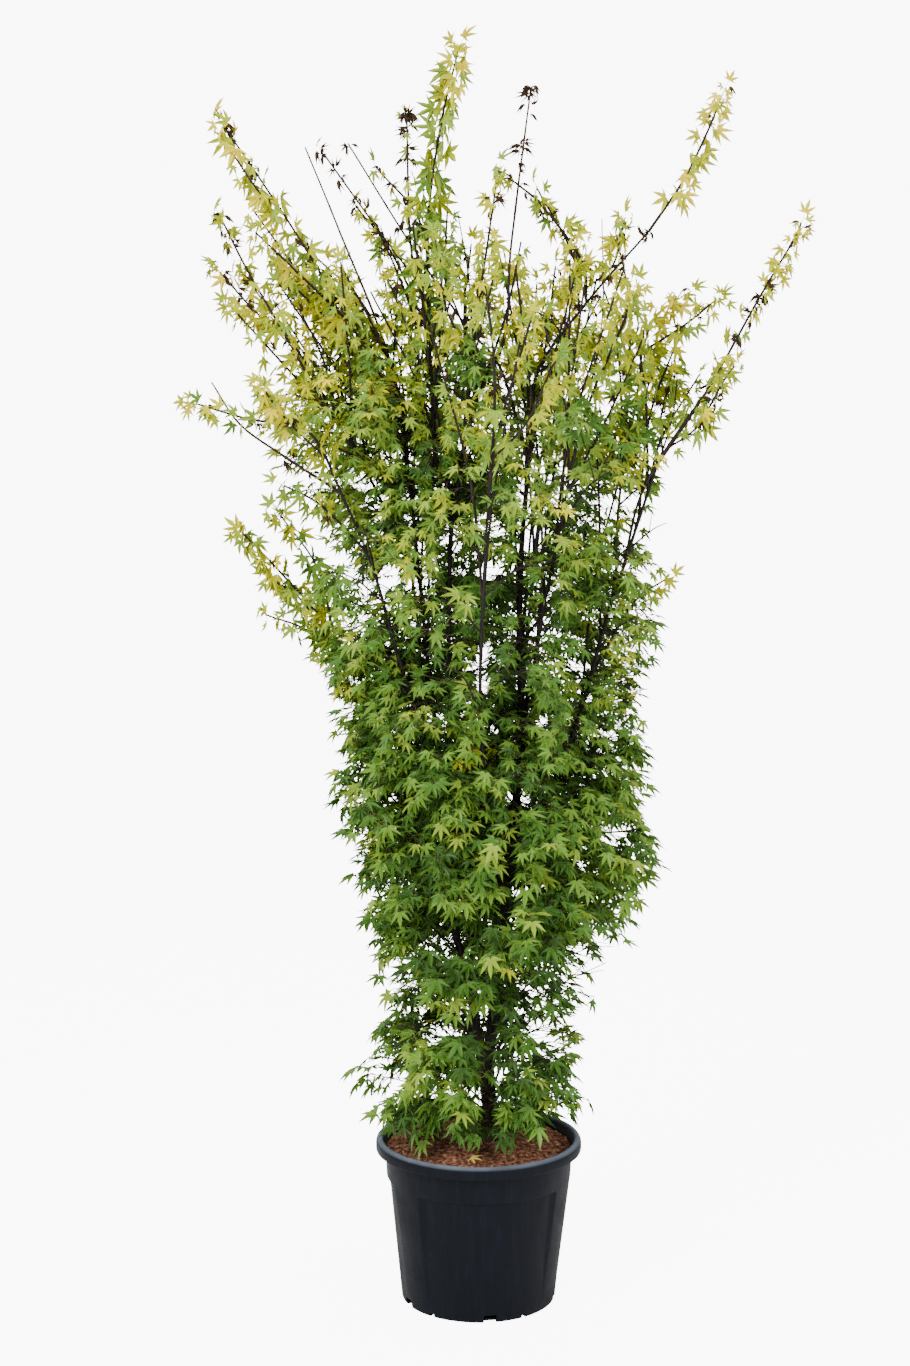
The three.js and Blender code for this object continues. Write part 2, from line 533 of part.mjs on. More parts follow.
let seed = 14;
for (const [name, plan] of Object.entries(SHOOTS)) {
  const random = seeded(seed += 37);
  const route = routeOf(plan.by);
  const foot = Math.min(SHOOT_RADIUS, grown[plan.on].radiusAt(plan.tip ? 1 : plan.share) * 0.95);
  const stems = [claim(name, plan.on, route, [foot, TIP_RADIUS], plan.tip)];
  const leaves = leafPairs(route, plan, random);
  for (const fork of plan.forks) {
    const way = routeOf([route.getPoint(fork.from).toArray(), ...fork.to]);
    stems.push(tube(way, taper(FORK_RADIUS, TIP_RADIUS), 3, 4));
    leaves.push(...leafPairs(way, fork, random));
  }
  masses.push({ name, stems, parts: leaves.map((leaf) => ({ leaves: [leaf] })), gold: true });
}
for (const [on, rows] of Object.entries(SPRAYS)) {
  rows.forEach(([share, direction, reach, rise], i) => {
    const name = `${on}_spray_${i + 1}`;
    const random = seeded(seed += 37);
    const from = grown[on].route.getPoint(share);
    const turn = direction * Math.PI / 180;
    const out = new THREE.Vector3(Math.cos(turn), Math.sin(turn), 0);
    const middle = from.clone().addScaledVector(out, reach * 0.5);
    middle.z += rise * 0.68;
    const tip = from.clone().addScaledVector(out, reach);
    tip.z += rise;
    const route = routeOf([from.toArray(), middle.toArray(), tip.toArray()]);
    const stem = claim(name, on, route, [SPRAY_STEM_RADIUS, TIP_RADIUS], false);
    masses.push({ name, stems: [stem], parts: sprayParts(route, SPRAY_SIDE, SPRAY_LEAF, random), gold: from.z > 1500 });
  });
}
for (const mass of masses) mass.stems.forEach((stem) => take(mass.name, stem));

// Then twigs and leaves, each skipped where another piece already is.
for (const mass of masses) {
  const pieces = [...mass.stems];
  for (const part of mass.parts) {
    if (part.from) {
      if (touches(leafyTwig(part.from, part.end, 1), mass.name)) continue;
      const twig = leafyTwig(part.from, part.end);
      pieces.push(twig);
      take(mass.name, twig, true);
    }
    for (const leaf of part.leaves) {
      if (touches(leafSolid(leaf, 1), mass.name, part.from ? pieces.at(-1) : null)) continue;
      const solid = leafSolid(leaf);
      pieces.push(solid);
      take(mass.name, solid, true);
    }
  }
  mass.solid = oneBody(wasm.Manifold.union(pieces).simplify(0.02));
}

// ---------------------------------------------------------------- assembly
const maple = new THREE.Group();

function addPiece(name, solid, material) {
  const mesh = new THREE.Mesh(geometryOf(solid), material);
  mesh.name = name;
  maple.add(mesh);
}

addPiece('pot', pot, potPlastic);
addPiece('soil', soil, soilBark);
addPiece('trunk', grown.trunk.solid, oldBark);
for (const name of Object.keys(LIMBS)) addPiece(name, grown[name].solid, name === 'olive_bough' ? youngBark : oldBark);
for (const name of Object.keys(WHIPS)) addPiece(name, grown[name].solid, whipBark);
for (const mass of masses) addPiece(mass.name, mass.solid, mass.gold ? goldLeaf : deepLeaf);

export default maple;
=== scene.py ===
"""A potted maple, 2.5 m tall: pot, bark compost, barked limbs, fine twigs and leaves.

It is laid out as an add-on and run as a script. Each operator makes one group
of like pieces in the shared frame: metres, +Z up, -Y towards the usual viewer.
"""

import itertools
import math

import bpy
import numpy as np
from bpy.props import FloatProperty, FloatVectorProperty, IntProperty, PointerProperty
from mathutils import Matrix, Vector, noise


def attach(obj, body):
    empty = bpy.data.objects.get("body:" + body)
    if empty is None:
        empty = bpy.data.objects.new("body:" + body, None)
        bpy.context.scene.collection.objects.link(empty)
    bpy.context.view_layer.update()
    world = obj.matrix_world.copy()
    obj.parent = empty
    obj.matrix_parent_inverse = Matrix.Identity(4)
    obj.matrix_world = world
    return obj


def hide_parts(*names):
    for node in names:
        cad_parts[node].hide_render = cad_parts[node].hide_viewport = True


bl_info = {
    "name": "Potted Maple",
    "version": (1, 0, 0),
    "blender": (4, 5, 0),
    "location": "View3D > Sidebar > Maple",
    "description": "Builds a young multi-stemmed maple in a nursery pot",
    "category": "Add Mesh",
}

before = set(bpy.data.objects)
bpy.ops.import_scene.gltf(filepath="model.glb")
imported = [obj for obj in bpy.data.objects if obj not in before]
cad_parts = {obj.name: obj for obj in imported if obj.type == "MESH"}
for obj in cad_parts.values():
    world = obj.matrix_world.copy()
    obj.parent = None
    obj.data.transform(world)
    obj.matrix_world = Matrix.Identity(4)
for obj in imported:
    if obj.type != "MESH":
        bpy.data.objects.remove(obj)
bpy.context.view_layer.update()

MM = 0.001
TURN = 2 * math.pi

# Where the usual viewer's eye is, in metres: how far in front, how far right, how high, and how
# many degrees it looks down.
EYE_DISTANCE, EYE_SIDE, EYE_HEIGHT, EYE_DOWN = 4.3, -0.0475, 1.72, 6.3

# ------------------------------------------------------------------ the plant's plan, in mm
TRUNK = [[19, 10, 314], [17, 9, 400], [15, 8, 486]]
TRUNK_RADII = 20, 13, 14.5  # at the soil, along it, at its fork
SIDE_STEM_RADII = 4.5, 3
SIDE_STEM = [[38, -4, 316], [33, -8, 400], [28, -7, 480], [36, -3, 600]]

# Limbs: the radii of foot and tip, then foot, bends and tip. Each foot lies on the limb that it
# grows from.
LIMBS = {
    "right_stem": ((11.5, 4), [
        [18, 8, 474], [60, 18, 845], [84, 30, 1150], [80, 36, 1420], [102, 44, 1759]]),
    "left_stem": ((8.5, 6), [
        [10, 7, 474], [-36, 0, 708], [-77, -10, 840], [-70, -20, 980], [-57, -26, 1140]]),
    "centre_bough": ((5.8, 3), [
        [-57, -26, 1140], [-59, -36, 1330], [-55, -42, 1540], [-26, -38, 1715], [3, -30, 1817]]),
    "leader": ((4, 2.4), [[-55, -42, 1560], [-84, -34, 1680], [-99, -20, 1985]]),
    "left_bough": ((5.5, 2.6), [
        [-67, -22, 1040], [-95, 0, 1235], [-131, 22, 1590], [-150, 26, 1776]]),
    "upper_left_bough": ((3.6, 2.2), [
        [-118, 12, 1450], [-180, -14, 1580], [-240, -34, 1700], [-292, -48, 1775]]),
    "outer_left_bough": ((4.8, 2.3), [
        [-72, -18, 930], [-112, -70, 1150], [-161, -96, 1322], [-205, -112, 1480], [-262, -124, 1620]]),
    "low_left_bough": ((4.6, 2.3), [
        [-77, -10, 845], [-150, 40, 990], [-226, 66, 1150], [-271, 72, 1273]]),
    "fore_bough": ((5, 2.4), [
        [84, 30, 1150], [102, -40, 1260], [124, -84, 1405], [150, -112, 1545], [171, -124, 1664]]),
    "right_bough": ((6.2, 2.8), [
        [62, 18, 868], [120, 26, 985], [185, 10, 1140], [258, -14, 1403], [342, -40, 1672]]),
    "olive_bough": ((3.4, 1.8), [
        [266, -16, 1430], [272, 30, 1560], [284, 48, 1690], [300, 52, 1880]]),
    "right_arch": ((3.6, 2.2), [
        [102, 44, 1759], [118, 40, 1862], [216, 30, 1995], [328, 20, 2122]]),
    "back_right_bough": ((5.6, 2.4), [
        [50, 16, 760], [78, 120, 1000], [104, 215, 1350], [150, 300, 1700]]),
    "back_left_bough": ((5, 2.4), [
        [-60, -4, 780], [-104, 120, 1020], [-126, 220, 1360], [-176, 290, 1660]]),
    "front_bough": ((5.2, 2.3), [
        [38, 12, 650], [22, -90, 900], [0, -176, 1250], [14, -226, 1620]]),
}

# Bare young whips, written as the limbs are.
WHIPS = {
    "left_whip": ((2.6, 1.3), [
        [-150, 26, 1776], [-184, 44, 1905], [-258, 66, 2090], [-340, 80, 2288]]),
    "crossing_whip": ((2.6, 1.3), [
        [92, 41, 1690], [42, 92, 1862], [-27, 104, 1946], [-140, 112, 2112], [-258, 116, 2300]]),
    "upright_whip": ((2.8, 1.3), [
        [3, -30, 1817], [48, -36, 1920], [60, -30, 2090], [97, -16, 2388]]),
    "low_left_whip": ((2.3, 1.2), [
        [-262, -124, 1620], [-370, -134, 1690], [-452, -138, 1750], [-504, -140, 1828]]),
}
WHIP_GIRTH = 1.35  # drawn that much thicker than their solids, so that they show against the sky

# Leafy shoots: length of a leaf group, pairs of them, bare share of the stem and the
# stem's route, then its forks: the share they leave at, the same four, and their route.
SHOOTS = {
    "crown_tip": (76, 8, 0.08, [[-99, -20, 1985], [-98, -14, 2150], [-74, -10, 2320], [-42, -6, 2454]], []),
    "dry_shoots": (52, 3, 0.5, [[-98, -24, 1940], [-132, 0, 2090], [-140, 14, 2342]],
                   [(0.3, 54, 3, 0.25, [[-208, 6, 2140], [-296, 16, 2262]])]),
    "left_tip_shoot": (76, 9, 0.12, [
        [-146, 26, 1740], [-206, -4, 1868], [-345, -24, 2103], [-488, -30, 2316]],
        [(0.16, 74, 3, 0.3, [[-280, 60, 1960], [-372, 70, 2050]])]),
    "left_outer_shoot": (68, 4, 0.08, [
        [-292, -48, 1775], [-368, -76, 1915], [-440, -84, 2040], [-490, -86, 2140]],
        [(0.3, 68, 3, 0.2, [[-440, -30, 1975], [-492, -20, 2035]])]),
    "left_level_shoot": (64, 4, 0.08, [
        [-250, -122, 1592], [-318, -186, 1735], [-426, -206, 1758], [-522, -206, 1786]],
        [(0.2, 47, 3, 0.3, [[-350, -230, 1750], [-400, -240, 1815]])]),
    "low_left_shoot": (76, 5, 0.08, [
        [-271, 72, 1273], [-312, 60, 1365], [-392, 46, 1460], [-462, 40, 1535]],
        [(0.1, 68, 3, 0.2, [[-322, 120, 1460], [-398, 130, 1570]])]),
    "far_right_shoot": (60, 7, 0.2, [
        [342, -40, 1672], [436, -52, 1815], [532, -60, 1990], [604, -64, 2112]],
        [(0.08, 64, 3, 0.45, [[410, -110, 1745], [462, -126, 1838]]),
         (0.04, 54, 3, 0.35, [[352, 0, 1760], [372, 16, 1836]])]),
    "right_arch_tip": (64, 4, 0.15, [
        [328, 20, 2122], [392, 16, 2216], [438, 14, 2310], [462, 12, 2372]], []),
    "right_fan": (72, 4, 0.15, [
        [208, 31, 1985], [196, -20, 2060], [120, -50, 2160], [66, -60, 2205]],
        [(0.12, 70, 3, 0.2, [[252, -70, 2050], [268, -90, 2120]])]),
    "right_feathers": (72, 3, 0.08, [
        [300, 52, 1880], [352, 44, 1912], [410, 40, 1950], [456, 38, 1988]],
        [(0.12, 73, 3, 0.3, [[348, 110, 1960], [398, 126, 2000]])]),
    "fore_shoot": (80, 4, 0.08, [
        [171, -124, 1664], [208, -140, 1800], [262, -140, 1925], [282, -138, 1990]],
        [(0.1, 75, 3, 0.25, [[156, -180, 1790], [118, -190, 1930]])]),
    "centre_shoot": (74, 4, 0.2, [
        [-12, -34, 1770], [-8, -84, 1930], [10, -96, 2060], [32, -100, 2210]],
        [(0.2, 77, 3, 0.2, [[-62, -130, 1960], [-78, -140, 2060]])]),
    "back_right_shoot": (90, 5, 0.08, [
        [150, 300, 1700], [172, 350, 1860], [190, 390, 2010], [214, 420, 2120]],
        [(0.15, 82, 3, 0.2, [[96, 390, 1850], [70, 440, 1950]])]),
    "back_left_shoot": (90, 5, 0.08, [
        [-176, 290, 1660], [-206, 330, 1800], [-236, 372, 1940], [-262, 400, 2040]],
        [(0.15, 82, 3, 0.2, [[-120, 360, 1800], [-92, 410, 1905]])]),
    "front_shoot": (88, 4, 0.08, [
        [14, -226, 1620], [24, -286, 1760], [20, -336, 1890], [6, -366, 1990]],
        [(0.15, 80, 3, 0.2, [[80, -340, 1750], [120, -390, 1840]])]),
}

# Sprays out of a limb's side: share of the limb, direction in degrees from the
# right (90 is the back), reach and rise.
SPRAYS = {
    "trunk": [[0.16, -150, 165, 90], [0.3, -35, 140, 110], [0.45, 62, 150, 110], [0.62, 140, 170, 130],
              [0.8, -95, 130, 120]],
    "right_stem": [[0.22, -5, 205, 60], [0.14, 75, 215, 80], [0.3, -70, 230, 90], [0.42, 20, 165, 130],
                   [0.66, -20, 150, 130]],
    "left_stem": [[0.2, 120, 150, 60], [0.4, -110, 215, 80], [0.62, 165, 120, 90], [0.84, -150, 145, 120]],
    "right_bough": [[0.34, -60, 165, 90], [0.74, -110, 110, 100]],
    "fore_bough": [[0.75, -60, 175, 120]],
    "front_bough": [[0.62, -110, 160, 110]],
    "back_right_bough": [[0.45, 80, 180, 90], [0.75, 30, 180, 130]],
    "back_left_bough": [[0.45, 110, 180, 90]],
    "outer_left_bough": [[0.72, -100, 165, 120]],
}
SPRAY_LEAF, SPRAY_SIDE = 122, 118  # length of a leaf group and of a side twig
FIRST_SEED, SEED_STEP = 14, 37
GOLDEN_ANGLE = 137.5  # degrees from one spray or shoot round a limb to the next

FIRST_TURN, ROW_TURN = 40, 25  # degrees: where a row starts, and how far each starts past the last
FINE_SIDE, FINE_RISE = 0.6, 0.6  # a fine spray's side twigs and rise, as shares of its reach
FINE_LEAF, PLACED_LEAF, LEAF_GROWTH = 45, 50, 0.4  # a leaf group's length, and its growth with the reach
# Finer sprays that fill the crown between those: the limb, from and to which share of it, how
# many, the reach of the first and the last, and how much warmer than others their leaves are.
FILL = [
    ("trunk", 0.08, 0.95, 11, 170, 165, 0),
    ("trunk", 0.75, 1.0, 4, 205, 200, 0),
    ("right_stem", 0.02, 0.93, 26, 195, 120, 0),
    ("right_stem", 0.04, 0.3, 9, 215, 225, 0),
    ("left_stem", 0.03, 0.95, 18, 185, 150, 0),
    ("left_stem", 0.05, 0.5, 8, 200, 190, 0),
    ("centre_bough", 0.05, 0.9, 14, 130, 90, 0),
    ("leader", 0.08, 0.92, 8, 95, 75, -2.0),
    ("left_bough", 0.05, 0.9, 13, 130, 90, 0),
    ("upper_left_bough", 0.12, 0.97, 12, 110, 100, 0.2),
    ("outer_left_bough", 0.08, 0.8, 10, 135, 95, 0),
    ("low_left_bough", 0.10, 0.95, 9, 125, 85, 1.0),
    ("fore_bough", 0.06, 0.92, 9, 125, 100, 0),
    ("right_bough", 0.05, 0.85, 14, 150, 100, 0.2),
    ("right_bough", 0.02, 0.45, 6, 165, 140, 0.2),
    ("olive_bough", 0.10, 0.9, 6, 80, 60, -0.6),
    ("right_arch", 0.06, 0.5, 4, 90, 75, 0),
    ("back_right_bough", 0.10, 0.95, 13, 150, 110, 0),
    ("back_left_bough", 0.10, 0.95, 13, 150, 110, 0),
    ("front_bough", 0.10, 0.95, 15, 135, 110, 0),
]

# Thin leafy shoots, finer than the solids' own: the limb or shoot and the share of it that they
# leave at, a bend and a tip, how much warmer their leaves are, the share of these that is dried,
# and the bare share.
RUNNERS = [
    ("left_bough", 0.80, [-270, 34, 1925], [-440, 60, 2165], 0.2, 0.15, 0.25),
    ("left_bough", 0.97, [-215, 45, 1965], [-328, 50, 2084], 0.2, 0.25, 0.2),
    ("upper_left_bough", 0.8, [-300, 0, 1830], [-400, 20, 1990], 0.4, 0.1, 0.15),
    ("upper_left_bough", 0.5, [-230, 30, 1760], [-300, 60, 1900], 0.2, 0.1, 0.15),
    ("leader", 0.95, [-112, -6, 2130], [-200, 30, 2244], -0.2, 0.5, 0.35),
    ("leader", 0.75, [-112, -50, 2000], [-128, -62, 2130], 0, 0.1, 0.1),
    ("leader", 0.60, [-76, 20, 1930], [-58, 50, 2090], 0.2, 0.1, 0.1),
    ("leader", 0.85, [-70, -50, 2040], [-62, -60, 2150], -1.0, 0, 0.1),
    ("centre_bough", 0.84, [-30, 20, 1950], [-16, 60, 2100], 1.0, 0.1, 0.2),
    ("centre_bough", 0.95, [50, -60, 1960], [77, -90, 2092], 1.0, 0.1, 0.2),
    ("right_stem", 0.97, [66, 60, 1950], [34, 90, 2110], 1.0, 0.1, 0.2),
    ("right_stem", 0.93, [130, 70, 1900], [150, 90, 2060], 0.6, 0.1, 0.2),
    ("right_arch", 0.60, [178, -30, 2070], [108, -44, 2196], 0.4, 0.3, 0.3),
    ("olive_bough", 0.90, [292, 50, 1990], [266, 50, 2118], 2.0, 0.1, 0.4),
    ("outer_left_bough", 0.80, [-300, -150, 1598], [-368, -170, 1636], 0.8, 0.1, 0.2),
    ("low_left_bough", 0.86, [-330, 60, 1335], [-422, 50, 1376], 1.9, 0, 0.2),
    ("low_left_bough", 0.97, [-350, 66, 1400], [-420, 60, 1450], 1.9, 0, 0.2),
    ("right_bough", 0.62, [300, 0, 1400], [362, -30, 1452], 2.2, 0, 0.3),
    ("upper_left_bough", 0.9, [-330, -20, 1860], [-438, 0, 2015], 0.3, 0.1, 0.1),
    ("upper_left_bough", 0.65, [-262, 20, 1800], [-386, 40, 1935], 0.2, 0.1, 0.1),
    ("left_bough", 0.9, [-240, 10, 1890], [-372, 0, 2030], 0.2, 0.1, 0.1),
    ("upper_left_bough", 0.95, [-380, -70, 1870], [-475, -90, 1975], 0.2, 0.15, 0.1),
    ("left_tip_shoot", 0.75, [-420, -60, 2190], [-462, -70, 2250], 0.2, 0.1, 0.05),
    ("left_tip_shoot", 0.45, [-350, -60, 2040], [-424, -80, 2110], 0.2, 0.1, 0.1),
    ("left_bough", 0.85, [-260, 60, 1870], [-400, 90, 2085], 0.2, 0.15, 0.3),
    ("leader", 0.8, [-150, -10, 2020], [-195, 0, 2120], 0.2, 0.15, 0.1),
    ("leader", 0.9, [-170, 20, 2080], [-240, 20, 2170], 0.2, 0.4, 0.4),
    ("far_right_shoot", 0.92, [602, -64, 2112], [608, -65, 2130], 0.5, 0.3, 0.1),
    ("left_bough", 0.98, [-200, 0, 1920], [-300, -20, 2030], 0.2, 0.15, 0.1),
    ("right_bough", 0.9, [330, 10, 1760], [382, 30, 1905], 0.2, 0.1, 0.1),
    ("olive_bough", 0.6, [306, 20, 1800], [320, 0, 1950], 0.2, 0.05, 0.1),
    ("fore_bough", 0.9, [240, -100, 1760], [310, -90, 1915], 0.2, 0.05, 0.1),
    ("right_arch", 0.3, [180, 10, 1900], [232, -20, 1995], 0.4, 0.05, 0.1),
    ("olive_bough", 0.5, [275, -10, 1790], [262, -20, 1930], 0.3, 0.05, 0.1),
    ("right_bough", 0.95, [318, -60, 1790], [300, -70, 1905], 0.3, 0.05, 0.1),
    ("fore_shoot", 0.45, [250, -100, 1890], [292, -90, 1985], 0.3, 0.05, 0.1),
    ("olive_bough", 0.97, [268, 20, 1935], [238, 10, 2015], 0.4, 0.05, 0.1),
    ("back_right_bough", 0.95, [110, 240, 1890], [70, 240, 2080], 0.8, 0.1, 0.2),
    ("back_left_bough", 0.95, [-120, 240, 1860], [-90, 240, 2050], 0.6, 0.1, 0.2),
]
# Long upright shoots in the crown's top, placed by rule: the limb, from and to which share of it,
# how many, and the bare share.
FANS = [
    ("leader", 0.2, 0.9, 4, 0.53), ("centre_bough", 0.4, 0.95, 5, 0.58),
    ("right_stem", 0.6, 0.97, 5, 0.58), ("fore_bough", 0.35, 0.95, 5, 0.58),
    ("left_bough", 0.4, 0.9, 5, 0.58), ("upper_left_bough", 0.3, 0.9, 4, 0.53),
    ("right_bough", 0.55, 0.95, 4, 0.58), ("back_right_bough", 0.6, 0.95, 3, 0.58),
    ("back_left_bough", 0.6, 0.95, 3, 0.58), ("front_bough", 0.7, 0.95, 3, 0.58),
]
# Single fine sprays where the rule leaves a gap: limb, share, direction, reach and rise.
PLACED = [
    ("trunk", 0.25, 178, 235, 95), ("trunk", 0.35, 200, 230, 140), ("trunk", 0.3, -8, 200, 100),
    ("trunk", 0.5, -20, 205, 130), ("trunk", 0.12, -100, 115, 62), ("trunk", 0.2, -62, 125, 70),
    ("trunk", 0.15, -135, 130, 70), ("trunk", 0.45, -95, 130, 60), ("left_stem", 0.12, 185, 175, 120),
    ("left_stem", 0.05, 170, 190, 170), ("left_stem", 0.2, 205, 170, 60),
    ("left_stem", 0.08, 230, 160, 150), ("right_stem", 0.10, -10, 240, 160),
    ("right_stem", 0.15, 15, 250, 90), ("right_stem", 0.05, -25, 220, 190),
    ("right_stem", 0.12, -80, 170, 130), ("right_bough", 0.1, -5, 240, 40),
    ("right_stem", 0.2, 0, 280, 110), ("right_bough", 0.45, -5, 150, 40),
    ("right_bough", 0.38, 10, 160, 60), ("right_bough", 0.70, 0, 112, 10),
    ("right_bough", 0.62, 8, 125, 0), ("right_bough", 0.74, -25, 110, 0),
    ("outer_left_bough", 0.45, 185, 120, 60), ("outer_left_bough", 0.55, 205, 110, 70),
    ("right_bough", 0.55, 0, 150, 30), ("right_bough", 0.42, 5, 130, 60),
    ("right_bough", 0.25, 0, 170, 50), ("right_bough", 0.05, 0, 240, 60),
    ("right_stem", 0.2, -8, 270, 60), ("trunk", 0.98, 0, 240, 200), ("left_bough", 0.35, 178, 140, 70),
    ("low_left_bough", 0.75, 20, 90, 60), ("right_stem", 0.12, 2, 245, 150),
    ("left_stem", 0.9, 175, 150, 60), ("outer_left_bough", 0.2, 175, 120, 60),
    ("left_stem", 0.7, 185, 160, 40), ("trunk", 0.9, -8, 175, 150), ("left_stem", 0.3, 178, 165, 60),
    ("right_stem", 0.02, 0, 200, 100), ("right_bough", 0.2, 0, 150, 60),
    ("left_stem", 0.15, 240, 120, 110), ("left_stem", 0.02, 215, 120, 200),
    ("outer_left_bough", 0.1, 200, 200, 20),
]
# Dried leaves: the limb, whip or shoot, the share of its length and how many sit there.
DRIED_CLUSTERS = [
    ("upright_whip", 0.99, 8), ("upright_whip", 0.955, 3), ("upright_whip", 0.88, 5),
    ("upright_whip", 0.85, 3), ("crossing_whip", 0.985, 3), ("crossing_whip", 0.8, 1),
    ("low_left_whip", 0.3, 3), ("low_left_whip", 0.18, 2), ("left_whip", 0.4, 1),
    ("dry_shoots", 0.99, 10), ("dry_shoots", 0.94, 5), ("dry_shoots", 0.84, 5),
    ("left_tip_shoot", 0.99, 3), ("left_tip_shoot", 0.62, 3), ("left_tip_shoot", 0.5, 3),
    ("left_tip_shoot", 0.4, 3), ("left_outer_shoot", 0.99, 4), ("left_outer_shoot", 0.82, 4),
    ("left_outer_shoot", 0.6, 3), ("far_right_shoot", 0.66, 5), ("far_right_shoot", 0.52, 3),
    ("far_right_shoot", 0.34, 3), ("right_arch", 0.98, 5), ("right_arch", 0.8, 3),
    ("right_arch", 0.62, 3), ("centre_shoot", 0.9, 3),
]
# Thin bare stems: the limb and the share that they leave it at, a bend and a tip.
BARE_STEMS = [
    ("centre_bough", 0.92, [-19, -50, 2004], [-42, -70, 2147]),
    ("fore_bough", 0.97, [232, -40, 1930], [235, 0, 2142]),
    ("right_bough", 0.97, [372, -20, 1760], [382, -10, 1850]),
]

# The crown's outline from the front: height, furthest left and furthest right.
OUTLINE = [
    (330, -205, 205), (430, -240, 220), (500, -248, 195), (560, -200, 190), (620, -190, 225),
    (700, -215, 272), (760, -225, 300), (850, -248, 335), (900, -240, 365), (990, -290, 322),
    (1130, -272, 326), (1230, -300, 322), (1320, -325, 350), (1440, -340, 360), (1560, -345, 335),
    (1700, -400, 380), (1850, -450, 470), (2150, -520, 520), (2500, -600, 640),
]
# Where the sky shows through the whole crown, as seen from the front: how far right and up the
# middle of a gap is, and its half sizes.
SKY = [
    (6, 1272, 22, 58), (19, 1471, 22, 26), (268, 953, 30, 24), (-243, 1460, 11, 13),
    (-167, 447, 22, 22), (-154, 686, 24, 22), (106, 1535, 26, 26), (260, 1135, 16, 22),
    (58, 1030, 14, 24), (248, 1592, 18, 24), (122, 1173, 16, 16), (93, 1019, 12, 18),
    (-222, 1352, 13, 10), (49, 801, 12, 18), (-170, 1472, 18, 18), (32, 1546, 18, 18),
    (304, 1605, 16, 22), (-215, 490, 14, 14), (-300, 1660, 20, 20),
]
# Limbs and whips that show through the crown, and between which shares of their length.
SEEN_STEMS = {
    "trunk": (0.1, 1), "right_stem": (0.25, 1), "left_bough": (0.2, 1), "outer_left_bough": (0.3, 0.95),
    "fore_bough": (0.3, 0.8), "right_bough": (0.45, 1), "centre_bough": (0.15, 0.75), "leader": (0.3, 1),
    "right_arch": (0, 1), "upright_whip": (0, 1), "crossing_whip": (0, 1), "left_whip": (0, 1),
}
# A shoot's looks: the length of its leaves at its foot and tip in mm, how much warmer they are at
# its foot and tip, and the share that is dried.
SHOOT_LOOKS = {
    "crown_tip": (58, 36, -1.7, 1.0, 0), "dry_shoots": (30, 20, 0, 0.3, 0.85),
    "left_tip_shoot": (50, 38, -0.2, 0.4, 0.12), "left_outer_shoot": (42, 28, 0.2, 0.2, 0.3),
    "left_level_shoot": (38, 28, 0.2, 0.8, 0.2), "low_left_shoot": (46, 36, 1.6, 2.2, 0),
    "far_right_shoot": (40, 22, 0.2, 0.6, 0.25), "right_arch_tip": (42, 26, 0.2, 1.2, 0.1),
    "right_fan": (40, 30, 0.2, 0.6, 0.2), "right_feathers": (36, 30, 0.5, 1, 0.08),
    "fore_shoot": (40, 30, -0.4, 0.4, 0.1),
}
USUAL_LOOKS = 38, 28, 0, 0, 0.05


# ------------------------------------------------------------------ routes and chance
def seeded(seed):
    """A seeded run of numbers between 0 and 1, the same as the solids' own."""
    state = seed & 0xFFFFFFFF

    def draw():
        nonlocal state
        state = (state * 1664525 + 1013904223) & 0xFFFFFFFF
        return state / 4294967296

    return draw


class Route:
    """A smooth curve through its stations, in metres, read by shares from 0 to 1."""

    def __init__(self, stations, unit=MM):
        self.points = [Vector(p) * unit for p in stations]

    def at(self, t):
        points = self.points
        last = len(points) - 1
        t = min(max(t, 0.0), 1.0) * last
        i = min(int(t), last - 1)
        w = t - i
        b, c = points[i], points[i + 1]
        a = points[i - 1] if i > 0 else b * 2 - c
        d = points[i + 2] if i + 2 <= last else c * 2 - b
        leave, arrive = (c - a) / 2, (d - b) / 2
        bend = (c - b) * 3 - leave * 2 - arrive
        close = (b - c) * 2 + leave + arrive
        return b + leave * w + bend * w * w + close * w * w * w

    def heading(self, t):
        return (self.at(min(t + 1e-4, 1)) - self.at(max(t - 1e-4, 0))).normalized()

    def length(self, steps=24):
        spots = [self.at(i / steps) for i in range(steps + 1)]
        return sum((q - p).length for p, q in zip(spots, spots[1:]))

    def branch(self, share, *stations):
        """A route that leaves this one at that share and goes on through stations in mm."""
        return Route([list(self.at(share) / MM), *stations])

    def part(self, share):
        """The route's first part, down to that share of it."""
        return Route([self.at(share * i / 4) for i in range(5)], 1)

    def level(self):
        chord = (self.points[-1] - self.points[0]).normalized()
        return Vector((0, 1, 0)) if abs(chord.y) < 0.7 else Vector((1, 0, 0))


def shaken(draw):
    """A small vector of chance, within half a unit of nothing along each axis."""
    return Vector((draw() - 0.5, draw() - 0.5, draw() - 0.5))


def square_to(heading, level):
    """Two directions at right angles to a heading and to each other."""
    a = heading.cross(level).normalized()
    return a, heading.cross(a)


def sideways(heading, level, facet, lean, opening):
    """The direction of a side shoot that opens out of one of a stem's three sides."""
    turn = TURN * (facet + 0.5) / 3 + lean
    a, b = square_to(heading, level)
    out = heading * math.cos(opening) + (a * math.cos(turn) + b * math.sin(turn)) * math.sin(opening)
    return out.normalized()


# Where within its step of a stem a pair of groups starts, and how much further the second one is.
GROUP_START, GROUP_STEP = 0.3, 0.35
TWIG_SHARES, TWIG_STEP = (0.38, 0.7), 0.05  # where a spray's pairs start, and how much further the second is
PAIR_OPENING, TWIG_OPENING = 1.05, 0.95  # radians between a stem and its groups or twigs
LEAN, LEAN_CHANCE = 0.35, 0.2  # radians by which the two of a pair lean apart, and chance's share
LAST_GROUP = 0.975  # where on a stem its last group is


def one_of_pair(route, t, facet, half, opening, draw):
    """The direction of the first or second of a pair that leaves a stem."""
    lean = (LEAN if half else -LEAN) + LEAN_CHANCE * (draw() - 0.5)
    return sideways(route.heading(t), route.level(), facet + half, lean, opening)


